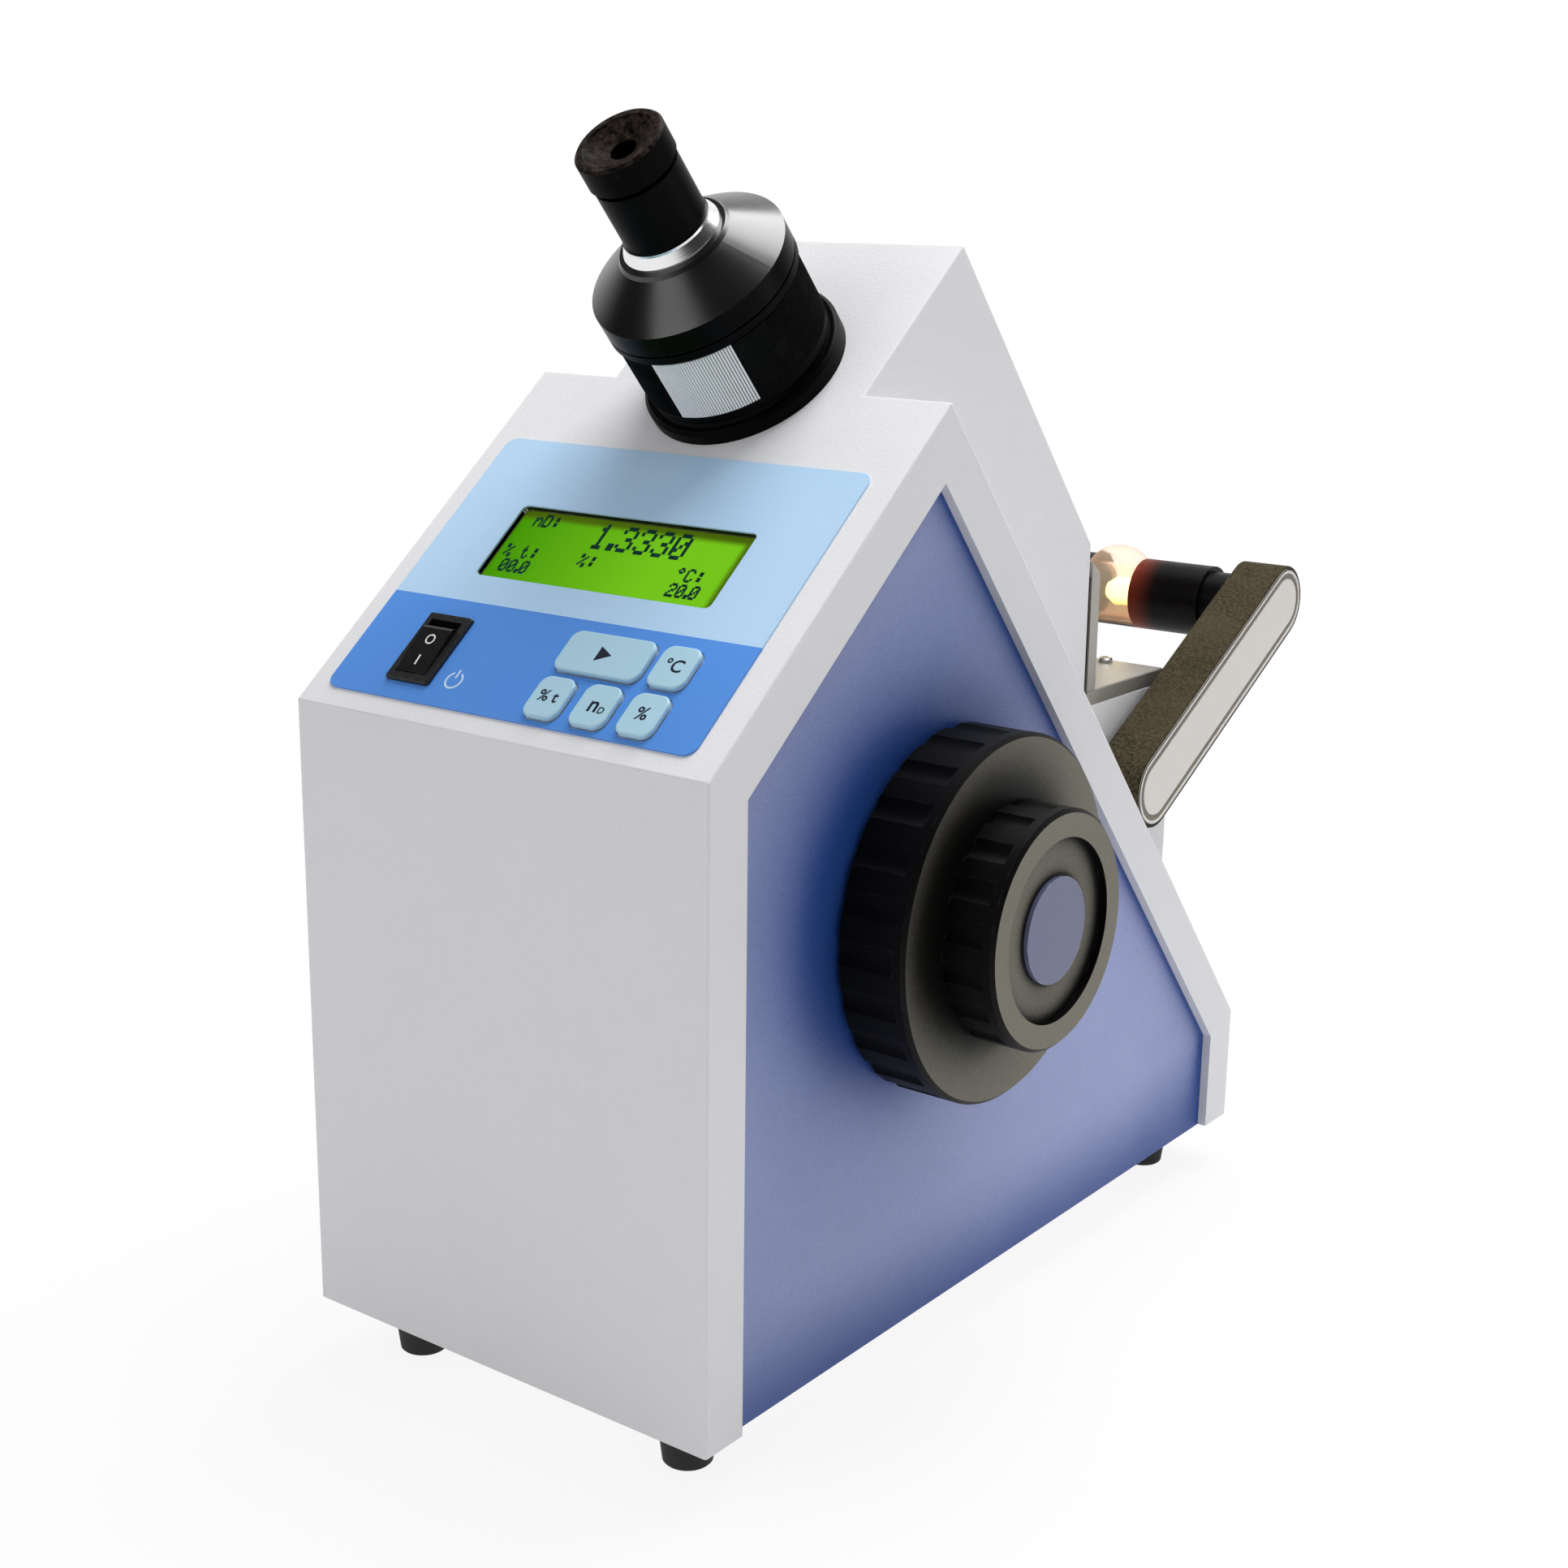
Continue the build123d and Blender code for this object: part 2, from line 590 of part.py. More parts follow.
# ---------------------------------------------------------------- telescope
with BuildPart() as telescope_flange:
    turn(
        telescope,
        (TUBE_RADIUS, -FLANGE_HEIGHT),
        (FLANGE_RADIUS, -FLANGE_HEIGHT),
        (FLANGE_RADIUS, FLANGE_HEIGHT - 2.4),
        (FLANGE_RADIUS - 1.2, FLANGE_HEIGHT - 1.2),
        (WHEEL_RADIUS, FLANGE_HEIGHT - 1.2),
        (WHEEL_RADIUS - 0.6, FLANGE_HEIGHT),
        (TUBE_RADIUS, FLANGE_HEIGHT),
    )
    # Its foot is cut to sit flat on the slope.
    split(bisect_by=slope)
    neck = TUBE_RADIUS + WALL - FLANGE_CLEARANCE
    turn(telescope, (TUBE_RADIUS, -WALL), (neck, -WALL), (neck, 2), (TUBE_RADIUS, 2))
telescope_flange.part.label = "telescope_flange"

wheel_bottom = FLANGE_HEIGHT + SEAM
peg_height = AMICI_HEIGHT + AMICI_LENGTH / 2
lower_amici = AMICI_HEIGHT - 2 * IDLER_RADIUS - 2 * FIT - AMICI_LENGTH
idler_height = AMICI_HEIGHT - FIT - IDLER_RADIUS
slot_width = 2 * PEG_RADIUS + SEAM

with BuildPart() as telescope_tube:
    turn(
        telescope,
        (TUBE_BORE, -TUBE_DEPTH),
        (TUBE_RADIUS, -TUBE_DEPTH),
        (TUBE_RADIUS, TUBE_TOP),
        (TUBE_BORE, TUBE_TOP),
    )
    # The slot lets the wheel's peg reach the upper prism cell.
    with BuildSketch(telescope_top.offset(peg_height - slot_width / 2)):
        with BuildLine():
            slot_half = WHEEL_TURN + 10
            slot_arc = CenterArc((0, 0), 2 * TUBE_RADIUS, 90 - slot_half, 2 * slot_half)
            Polyline(slot_arc @ 1, (0, 0), slot_arc @ 0)
        make_face()
    extrude(amount=slot_width, mode=Mode.SUBTRACT)
    with BuildSketch(Plane(origin=telescope_foot, x_dir=telescope_up, z_dir=(1, 0, 0))):
        with Locations((0, idler_height)):
            Circle(PEG_RADIUS + FIT)
    extrude(amount=2 * TUBE_RADIUS, mode=Mode.SUBTRACT)
telescope_tube.part.label = "telescope_tube"

with BuildPart() as dispersion_wheel:
    turn(
        telescope,
        (TUBE_RADIUS + FIT, wheel_bottom),
        (WHEEL_RADIUS - 0.5, wheel_bottom),
        (WHEEL_RADIUS, wheel_bottom + 0.5),
        (WHEEL_RADIUS, WHEEL_SHOULDER - 1),
        (WHEEL_SHOULDER_RADIUS, WHEEL_SHOULDER),
        (WHEEL_SHOULDER_RADIUS, WHEEL_TOP),
        (WHEEL_RADIUS - WHEEL_RIM, WHEEL_TOP),
        (WHEEL_RADIUS - WHEEL_RIM, wheel_bottom + WHEEL_RIM),
        (WHEEL_HUB_RADIUS, wheel_bottom + WHEEL_RIM),
        (WHEEL_HUB_RADIUS, WHEEL_TOP - 2),
        (TUBE_RADIUS + FIT, WHEEL_TOP - 2),
    )
    with BuildSketch(telescope):
        with Locations((0, peg_height)):
            Circle(PEG_RADIUS + FIT)
    extrude(amount=-WHEEL_HUB_RADIUS - SEAM, mode=Mode.SUBTRACT)
dispersion_wheel.part.label = "dispersion_wheel"

with BuildPart() as telescope_head:
    turn(
        telescope,
        (TUBE_RADIUS, WHEEL_TOP + SEAM),
        (HEAD_RADIUS - 0.4, WHEEL_TOP + SEAM),
        (HEAD_RADIUS, WHEEL_TOP + SEAM + 0.4),
        (HEAD_RADIUS, HEAD_CONE),
        (HEAD_TOP_RADIUS + 0.9, HEAD_TOP - 1.2),
        (HEAD_TOP_RADIUS, HEAD_TOP),
        (RING_RADIUS + FIT, HEAD_TOP),
        (RING_RADIUS + FIT, TUBE_TOP),
        (TUBE_RADIUS, TUBE_TOP),
    )
telescope_head.part.label = "telescope_head"

with BuildPart() as eyepiece_ring:
    turn(
        telescope,
        (CELL_RADIUS + FIT, TUBE_TOP - 6),
        (TUBE_BORE - FIT, TUBE_TOP - 6),
        (TUBE_BORE - FIT, TUBE_TOP),
        (RING_RADIUS, TUBE_TOP),
        (RING_RADIUS, HEAD_TOP + 1.0),
        (EYEPIECE_RADIUS + 0.5, RING_TOP - 0.8),
        (EYEPIECE_RADIUS + 0.5, RING_TOP),
        (COLLAR_RADIUS, RING_TOP),
        (COLLAR_RADIUS, RING_TOP + 12),
        (CELL_RADIUS + FIT, RING_TOP + 12),
    )
eyepiece_ring.part.label = "eyepiece_ring"

with BuildPart() as eyepiece_tube:
    turn(
        telescope,
        (COLLAR_RADIUS + FIT, RING_TOP + 2 * FIT),
        (EYEPIECE_RADIUS, RING_TOP + 2 * FIT),
        (EYEPIECE_RADIUS, EYEPIECE_TOP),
        (COLLAR_RADIUS + 0.8, EYEPIECE_TOP),
        (COLLAR_RADIUS + 0.8, EYEPIECE_TOP + 6),
        (CELL_RADIUS + SEAM, EYEPIECE_TOP + 6),
        (CELL_RADIUS + SEAM, RING_TOP + 13),
        (COLLAR_RADIUS + FIT, RING_TOP + 13),
    )
eyepiece_tube.part.label = "eyepiece_tube"

with BuildPart() as eyecup:
    turn(
        telescope,
        (COLLAR_RADIUS + 0.8, EYEPIECE_TOP + 1),
        (EYEPIECE_RADIUS - 0.2, EYEPIECE_TOP + 1),
        (EYECUP_RADIUS, EYEPIECE_TOP + 1.9),
        (EYECUP_RADIUS, EYECUP_TOP - 0.8),
        (EYECUP_RADIUS - 0.8, EYECUP_TOP),
        (11.4, EYECUP_TOP),
        (10.9, EYECUP_TOP - 0.5),
        (4.2, EYECUP_TOP - 3.6),
        (4.2, EYEPIECE_TOP + 6),
        (COLLAR_RADIUS + 0.8, EYEPIECE_TOP + 6),
    )
eyecup.part.label = "eyecup"

cell_low = RING_TOP - 4 - CELL_TRAVEL
with BuildPart() as lens_cell:
    turn(
        telescope,
        (CELL_BORE, cell_low),
        (CELL_RADIUS, cell_low),
        (CELL_RADIUS, cell_low + CELL_LENGTH),
        (CELL_BORE, cell_low + CELL_LENGTH),
    )
lens_cell.part.label = "lens_cell"


def lens(radius, low, edge, bulge):
    """A biconvex disc about the telescope's axis, with spherical faces."""
    high = low + edge
    with BuildSketch(telescope) as section:
        with BuildLine():
            ThreePointArc((-radius, high), (0, high + bulge), (radius, high))
            Line((radius, high), (radius, low))
            ThreePointArc((radius, low), (0, low - bulge), (-radius, low))
            Line((-radius, low), (-radius, high))
        make_face()
        split(bisect_by=Plane.YZ)
    revolve(section.sketch, axis=Axis(telescope.origin, telescope.y_dir))


with BuildPart() as eyepiece_lenses:
    lens(CELL_BORE - FIT, cell_low + 2.5, 1.6, 1.2)
    lens(CELL_BORE - FIT, cell_low + CELL_LENGTH - 4.2, 1.6, 1.2)
eyepiece_lenses.part.label = "eyepiece_lenses"

with BuildPart() as telescope_lenses:
    lens(TUBE_BORE - FIT, -TUBE_DEPTH + 4, 2.6, 1.6)
    rod(telescope, TUBE_BORE - FIT, TUBE_TOP - 9, TUBE_TOP - 7.5)
telescope_lenses.part.label = "telescope_lenses"


def amici_cell(low):
    """A sleeve with a square bore that holds crown, flint and crown wedges."""
    half = AMICI_SIDE / 2
    middle, high = low + AMICI_LENGTH / 2, low + AMICI_LENGTH
    cement = 0.04
    rod(telescope, TUBE_BORE - FIT, low, high)
    with BuildSketch(telescope_top.offset(low)) as bore:
        Rectangle(AMICI_SIDE + FIT, AMICI_SIDE + FIT)
    extrude(bore.sketch, amount=AMICI_LENGTH, mode=Mode.SUBTRACT)
    for wedge in (
        [(-half, low), (half, low), (-half, middle - cement)],
        [(half, low + 2 * cement), (half, high - 2 * cement), (cement - half, middle)],
        [(-half, high), (half, high), (-half, middle + cement)],
    ):
        extrude(outline_face(telescope, wedge), amount=half, both=True)


with BuildPart() as amici_prism_upper:
    amici_cell(AMICI_HEIGHT)
    with BuildSketch(telescope.offset(-TUBE_BORE + 1)):
        with Locations((0, peg_height)):
            Circle(PEG_RADIUS)
    extrude(amount=TUBE_BORE - 1 - WHEEL_HUB_RADIUS)
amici_prism_upper.part.label = "amici_prism_upper"

with BuildPart() as amici_prism_lower:
    amici_cell(lower_amici)
amici_prism_lower.part.label = "amici_prism_lower"

with BuildPart() as compensator_idler:
    idler_axis = Plane(
        origin=telescope_top.from_local_coords((0, 0, idler_height)),
        x_dir=telescope_up,
        z_dir=-telescope_out,
    )
    rod(idler_axis, IDLER_RADIUS, 9.0, 12.0)
    rod(idler_axis, PEG_RADIUS, 7.5, TUBE_RADIUS - 0.2)
compensator_idler.part.label = "compensator_idler"

# ---------------------------------------------------------------- handwheel
wheel_axis = cross_shaft(handwheel_y, handwheel_z)
with BuildPart() as handwheel:
    turn(
        wheel_axis,
        (SHAFT_RADIUS, HANDWHEEL_BACK + 1),
        (SHAFT_RADIUS + 6, HANDWHEEL_BACK + 1),
        (SHAFT_RADIUS + 6, KNOB_FACE - 6),
        (KNOB_RADIUS - 4, KNOB_FACE - 6),
        (KNOB_RADIUS - 4, HANDWHEEL_STEP - 5),
        (HANDWHEEL_RADIUS - 4, HANDWHEEL_STEP - 5),
        (HANDWHEEL_RADIUS - 4, HANDWHEEL_BACK),
        (HANDWHEEL_RADIUS - 1, HANDWHEEL_BACK),
        (HANDWHEEL_RADIUS, HANDWHEEL_BACK + 1),
        (HANDWHEEL_RADIUS, HANDWHEEL_STEP - 1.2),
        (HANDWHEEL_RADIUS - 1.2, HANDWHEEL_STEP),
        (KNOB_RADIUS, HANDWHEEL_STEP),
        (KNOB_RADIUS, KNOB_FACE - 1.2),
        (KNOB_RADIUS - 1.2, KNOB_FACE),
        (KNOB_RADIUS * 0.77, KNOB_FACE),
        (KNOB_RADIUS * 0.77, KNOB_FACE - 2.2),
        (CAP_RADIUS + 0.2, KNOB_FACE - 2.2),
        (CAP_RADIUS + 0.2, KNOB_FACE - 3.4),
        (SHAFT_RADIUS, KNOB_FACE - 3.4),
    )
    for radius, start, end, count, cutter in (
        (HANDWHEEL_RADIUS, HANDWHEEL_BACK, HANDWHEEL_STEP - 4, HANDWHEEL_FLUTES, 6.5),
        (KNOB_RADIUS, HANDWHEEL_STEP, KNOB_FACE - 4, KNOB_FLUTES, 5.5),
    ):
        with BuildSketch(Plane(origin=(start, handwheel_y, handwheel_z), z_dir=(1, 0, 0))):
            with PolarLocations(radius + cutter - FLUTE_DEPTH, count):
                Circle(cutter)
        extrude(amount=end - start, mode=Mode.SUBTRACT)
handwheel.part.label = "handwheel"

with BuildPart() as handwheel_cap:
    rod(wheel_axis, CAP_RADIUS, KNOB_FACE - 3.4, KNOB_FACE - 0.9)
handwheel_cap.part.label = "handwheel_cap"


def tooth_half_angle(teeth, radius):
    """Half the angle that an involute tooth takes up at a radius, in radians."""
    pitch_radius = gear_module * teeth / 2
    base_radius = pitch_radius * cos(radians(PRESSURE_ANGLE))
    at_pitch = (pi * gear_module / 2 - BACKLASH) / 2 / pitch_radius
    slant = radians(PRESSURE_ANGLE)
    steep = acos(min(1, base_radius / radius))
    return at_pitch + (tan(slant) - slant) - (tan(steep) - steep)


def tooth_points(teeth, middle):
    """One tooth's corners, root to tip to root, about a middle angle in degrees."""
    pitch_radius = gear_module * teeth / 2
    root = pitch_radius - 1.25 * gear_module
    tip = pitch_radius + 0.9 * gear_module
    start = max(root, pitch_radius * cos(radians(PRESSURE_ANGLE)))
    radii = [root] * (start > root) + [start, (start + pitch_radius) / 2, pitch_radius, tip]
    flank = [(r, tooth_half_angle(teeth, max(r, start))) for r in radii]
    corners = [(r, -a) for r, a in flank] + [(r, a) for r, a in reversed(flank)]
    middle = radians(middle)
    return [(r * cos(middle + a), r * sin(middle + a)) for r, a in corners]


gear_plane = Plane(origin=(GEAR_X, handwheel_y, handwheel_z), x_dir=(0, 1, 0), z_dir=(1, 0, 0))
sector_plane = Plane(
    origin=(GEAR_X, mirror_axis.Y, mirror_axis.Z), x_dir=(0, 1, 0), z_dir=(1, 0, 0)
)
with BuildPart() as pinion_shaft:
    pinion = []
    for tooth in range(PINION_TEETH):
        pinion += tooth_points(PINION_TEETH, gear_line + tooth * 360 / PINION_TEETH)
    extrude(outline_face(gear_plane.offset(-1), pinion), amount=GEAR_WIDTH + 2)
    rod(wheel_axis, SHAFT_RADIUS, GEAR_X - 3, KNOB_FACE - 3.6)
pinion_shaft.part.label = "pinion_shaft"

with BuildPart() as sector_gear:
    pitch = 360 / SECTOR_TEETH
    teeth = []
    for tooth in range(SECTOR_TEETH_KEPT):
        place = (tooth + 0.5 - SECTOR_TEETH_KEPT / 2) * pitch
        teeth += tooth_points(SECTOR_TEETH, gear_line + 180 + place)
    extrude(outline_face(sector_plane, [(0, 0)] + teeth), amount=GEAR_WIDTH)
    with BuildSketch(sector_plane):
        Circle(2 * TRUNNION_RADIUS)
    extrude(amount=GEAR_WIDTH)
    rim = gear_module * SECTOR_TEETH / 2
    window = SECTOR_TEETH_KEPT * pitch / 2 * 0.62
    with BuildSketch(sector_plane):
        with BuildLine():
            inner_arc = CenterArc((0, 0), rim * 0.32, gear_line + 180 - window, 2 * window)
            outer_arc = CenterArc((0, 0), rim * 0.84, gear_line + 180 - window, 2 * window)
            Line(inner_arc @ 0, outer_arc @ 0)
            Line(inner_arc @ 1, outer_arc @ 1)
        make_face()
        Circle(TRUNNION_RADIUS)
    extrude(amount=GEAR_WIDTH, mode=Mode.SUBTRACT)
sector_gear.part.label = "sector_gear"

# ---------------------------------------------------------------- mirror and encoder
trunnion = cross_shaft(mirror_axis.Y, mirror_axis.Z)
mirror_side = Plane(
    origin=(0, mirror_axis.Y, mirror_axis.Z),
    x_dir=(0, sin(radians(mirror_angle)), -cos(radians(mirror_angle))),
    z_dir=(1, 0, 0),
)
half_mirror = MIRROR_LENGTH / 2
mirror_seat = MIRROR_OFFSET - MIRROR_THICKNESS
encoder_x = WEB_X + WEB_THICKNESS + 7.5

with BuildPart() as mirror_holder:
    seat = [(-half_mirror, mirror_seat), (half_mirror, mirror_seat), (7, -6.5), (-7, -6.5)]
    extrude(outline_face(mirror_side, seat), amount=MIRROR_WIDTH / 2 + 1, both=True)
    rod(trunnion, TRUNNION_RADIUS, MIRROR_WIDTH / 2 + SEAM, encoder_x + 2.5)
mirror_holder.part.label = "mirror_holder"

with BuildPart() as fold_mirror:
    glass = [
        (-half_mirror, mirror_seat),
        (half_mirror, mirror_seat),
        (half_mirror, MIRROR_OFFSET),
        (-half_mirror, MIRROR_OFFSET),
    ]
    extrude(outline_face(mirror_side, glass), amount=MIRROR_WIDTH / 2, both=True)
fold_mirror.part.label = "fold_mirror"

with BuildPart() as encoder_disc:
    turn(
        trunnion,
        (TRUNNION_RADIUS, encoder_x),
        (ENCODER_RADIUS, encoder_x),
        (ENCODER_RADIUS, encoder_x + 1),
        (TRUNNION_RADIUS, encoder_x + 1),
    )
encoder_disc.part.label = "encoder_disc"

reader_side = Plane(
    origin=(WEB_X + WEB_THICKNESS, mirror_axis.Y, mirror_axis.Z),
    x_dir=(0, -cos(radians(gear_line)), -sin(radians(gear_line))),
    z_dir=(1, 0, 0),
)
with BuildPart() as encoder_head:
    with BuildSketch(reader_side):
        with Locations((ENCODER_RADIUS + 2.0, 0)):
            Rectangle(13.0, 12.0)
    extrude(amount=12.0)
    turn(
        trunnion,
        (0, encoder_x - 1),
        (ENCODER_RADIUS + 1, encoder_x - 1),
        (ENCODER_RADIUS + 1, encoder_x + 2),
        (0, encoder_x + 2),
        mode=Mode.SUBTRACT,
    )
encoder_head.part.label = "encoder_head"

# ---------------------------------------------------------------- optics chassis and its bush
shaft_boss = BUSH_RADIUS + 5
trunnion_boss = TRUNNION_RADIUS + 5
chassis_front = handwheel_y - 22
chassis_back = mirror_axis.Y + 22
with BuildPart() as optics_chassis:
    with BuildSketch(Plane.YZ.offset(WEB_X)):
        with Locations((handwheel_y, handwheel_z)):
            Circle(shaft_boss)
        with Locations((mirror_axis.Y, mirror_axis.Z)):
            Circle(trunnion_boss + 4)
        with BuildLine():
            Polyline(
                (chassis_front, base_top),
                (handwheel_y - shaft_boss, handwheel_z),
                (mirror_axis.Y, mirror_axis.Z + trunnion_boss + 3),
                (mirror_axis.Y + trunnion_boss + 3, mirror_axis.Z),
                (chassis_back, base_top),
                close=True,
            )
        make_face()
        with Locations(((chassis_front + chassis_back) / 2 + 8, handwheel_z - 46)):
            RectangleRounded(62, 54, 12, mode=Mode.SUBTRACT)
    extrude(amount=WEB_THICKNESS)
    block((WEB_X - 16, WEB_X + 30), (chassis_front, chassis_back), (base_top, base_top + CHASSIS_FOOT))
    rod(wheel_axis, shaft_boss, WEB_X, WEB_X + BUSH_LENGTH)
    rod(trunnion, trunnion_boss, WEB_X - 4, WEB_X + WEB_THICKNESS + 3)
    rod(wheel_axis, BUSH_RADIUS, 0, half_width, mode=Mode.SUBTRACT)
    rod(trunnion, TRUNNION_RADIUS + FIT, 0, half_width, mode=Mode.SUBTRACT)
optics_chassis.part.label = "optics_chassis"

with BuildPart() as shaft_bush:
    turn(
        wheel_axis,
        (SHAFT_RADIUS + FIT, WEB_X - 2),
        (BUSH_RADIUS, WEB_X - 2),
        (BUSH_RADIUS, WEB_X + BUSH_LENGTH),
        (BUSH_RADIUS + 2, WEB_X + BUSH_LENGTH),
        (BUSH_RADIUS + 2, WEB_X + BUSH_LENGTH + 2),
        (SHAFT_RADIUS + FIT, WEB_X + BUSH_LENGTH + 2),
    )
shaft_bush.part.label = "shaft_bush"

# ---------------------------------------------------------------- electronics
def centred(x, y, width, length, low, high):
    """A box on a middle point, from a low to a high level."""
    block((x - width / 2, x + width / 2), (y - length / 2, y + length / 2), (low, high))


board_y = front + BOARD_RUN
board_bottom = base_top + BOARD_STANDOFF
board_top = board_bottom + BOARD_THICKNESS
with BuildPart() as main_board:
    centred(BOARD_X, board_y, BOARD_WIDTH, BOARD_LENGTH, board_bottom, board_top)
    centred(BOARD_X - 8, board_y - 27, 18, 18, board_top, board_top + 3)  # processor
    centred(BOARD_X + 15, board_y - 22, 12, 32, board_top, board_top + 9)  # connector
    centred(BOARD_X - 13, board_y + 16.5, 16, 35, board_top, board_top + 12)  # supply choke
    with BuildSketch(Plane.XY.offset(base_top)):
        with Locations((BOARD_X, board_y)):
            with GridLocations(BOARD_WIDTH - 8, BOARD_LENGTH - 8, 2, 2):
                Circle(3.0)
    extrude(amount=BOARD_STANDOFF)
main_board.part.label = "main_board"

core_y = front + TRANSFORMER_RUN
core_low = base_top + 4
coil_low = core_low + (CORE_HEIGHT - COIL_HEIGHT) / 2
with BuildPart() as transformer:
    centred(TRANSFORMER_X, core_y, CORE_WIDTH, CORE_LENGTH, core_low, core_low + CORE_HEIGHT)
    centred(TRANSFORMER_X, core_y, COIL_WIDTH, COIL_LENGTH, coil_low, coil_low + COIL_HEIGHT)
    centred(TRANSFORMER_X, core_y, TRANSFORMER_LUGS, CORE_LENGTH / 2, base_top, core_low)
transformer.part.label = "transformer"

with BuildPart() as power_inlet:
    with BuildSketch(Plane.XZ.offset(-rear)):
        with Locations((INLET_X, socket_z)):
            RectangleRounded(INLET_WIDTH + 4, INLET_HEIGHT + 5, 2.0)
    extrude(amount=-INLET_RIM)
    with BuildSketch(Plane.XZ.offset(-rear)):
        with Locations((INLET_X, socket_z)):
            Rectangle(INLET_WIDTH, INLET_HEIGHT)
    extrude(amount=INLET_DEPTH)
    with BuildSketch(Plane.XZ.offset(-rear - INLET_RIM)) as socket:
        with Locations((INLET_X, socket_z)):
            Rectangle(MAINS_SOCKET_WIDTH, MAINS_SOCKET_HEIGHT)
        chamfer(socket.vertices().group_by(Axis.Y)[-1], 4.0)
    extrude(amount=MAINS_SOCKET_DEPTH, mode=Mode.SUBTRACT)
    # Three flat pins, the middle one higher.
    with BuildSketch(Plane.XZ.offset(MAINS_SOCKET_DEPTH - rear - INLET_RIM)):
        with Locations((INLET_X, socket_z - 2)):
            with GridLocations(MAINS_PIN_PITCH, 1, 2, 1):
                Rectangle(2.0, 4.0)
        with Locations((INLET_X, socket_z + 2)):
            Rectangle(2.0, 4.0)
    extrude(amount=3 - MAINS_SOCKET_DEPTH)
power_inlet.part.label = "power_inlet"

with BuildPart() as serial_socket:
    with BuildSketch(Plane.XZ.offset(-rear)):
        with Locations((SERIAL_X, socket_z)):
            Rectangle(SERIAL_WIDTH + 11.8, SERIAL_HEIGHT + 2)
    extrude(amount=-1)
    with BuildSketch(Plane.XZ.offset(-rear)):
        with Locations((SERIAL_X, socket_z)):
            Rectangle(SERIAL_WIDTH, SERIAL_HEIGHT)
    extrude(amount=SERIAL_DEPTH)
    with BuildSketch(Plane.XZ.offset(-rear - 1)):
        with Locations((SERIAL_X, socket_z)):
            Trapezoid(17.0, 8.4, 80, rotation=180)
    extrude(amount=-5.0)
serial_socket.part.label = "serial_socket"

# ---------------------------------------------------------------- stage
with BuildPart() as stage_plate:
    block((-half_hump, half_hump), (stage_front, stage_back), (box_top, stage_top))
    chamfer(stage_plate.faces().sort_by(Axis.Z)[-1].edges(), 0.4)
stage_plate.part.label = "stage_plate"

with BuildPart() as stage_screws:
    for x in (-STAGE_SCREW_X, STAGE_SCREW_X):
        screw = Plane(origin=(x, stage_back - STAGE_SCREW_INSET, stage_top), x_dir=(1, 0, 0), z_dir=(0, -1, 0))
        turn(screw, (0, 0), (2.8, 0), (2.8, 1.2), (2.2, 1.9), (1.2, 1.9), (1.2, 0.9), (0, 0.9))
stage_screws.part.label = "stage_screws"

plate_outline = [
    (stage_front, stage_top),
    (jacket_front, stage_top),
    (jacket_front, stage_top + PLATE_HEIGHT),
    (stage_front, stage_top + PLATE_HEIGHT + PLATE_BEVEL),
]
with BuildPart() as prism_plate:
    extrude(outline_face(Plane.YZ, plate_outline), amount=half_hump, both=True)
    with BuildSketch(Plane.XZ.offset(-jacket_front)):
        with Locations((0, beam_z)):
            Circle(half_prism - 3)
    extrude(amount=PLATE_THICKNESS, mode=Mode.SUBTRACT)
prism_plate.part.label = "prism_plate"

with BuildPart() as plate_gasket:
    block(
        (-half_hump + 0.8, half_hump - 0.8),
        (hump_back, stage_front),
        (box_top, stage_top + PLATE_HEIGHT - 1),
    )
    with BuildSketch(Plane.XZ.offset(-stage_front)):
        with Locations((0, beam_z)):
            Circle(half_prism - 3)
    extrude(amount=GASKET_THICKNESS, mode=Mode.SUBTRACT)
plate_gasket.part.label = "plate_gasket"

# ---------------------------------------------------------------- prisms in their jackets
hinge_x = -half_jacket - KNUCKLE_RADIUS - SEAM
hinge_z = joint_z + SAMPLE_GAP / 2
hinge_pin_axis = Plane(origin=(hinge_x, 0, hinge_z), x_dir=(1, 0, 0), z_dir=(0, 0, 1))
knuckle_ends = [jacket_front + 2, jacket_front + 10, jacket_back - 10, jacket_back - 2]
catch_y = front + LATCH_RUN
latch_z = joint_z - LATCH_DROP
catch_z = joint_z + CATCH_RISE
lower_prism = [
    (jacket_front + 4, joint_z),
    (jacket_back - 6, joint_z),
    (jacket_back - 6, joint_z - 5),
    (jacket_front + 11, joint_z - 19),
    (jacket_front + 4, joint_z - 19),
]
upper_z = joint_z + SAMPLE_GAP
upper_top = upper_z + UPPER_JACKET_HEIGHT
upper_prism = [
    (jacket_front + 4, upper_z),
    (jacket_back - 4.5, upper_z),
    (jacket_back - 4.5, upper_z + 6.5),
    (jacket_back - 15, upper_top - 3.5),
    (jacket_front + 4, upper_top - 3.5),
]


def nipple(y, z, mode=Mode.ADD):
    """A plain hose tail on a jacket's left side."""
    tail = cross_shaft(y, z)
    end = -half_jacket - NIPPLE_LENGTH
    turn(
        tail,
        (0, -half_jacket),
        (NIPPLE_RADIUS, -half_jacket),
        (NIPPLE_RADIUS, end + 1),
        (NIPPLE_RADIUS - 1, end),
        (1.6, end),
        (1.6, -half_jacket - 1),
        (0, -half_jacket - 1),
        mode=mode,
    )


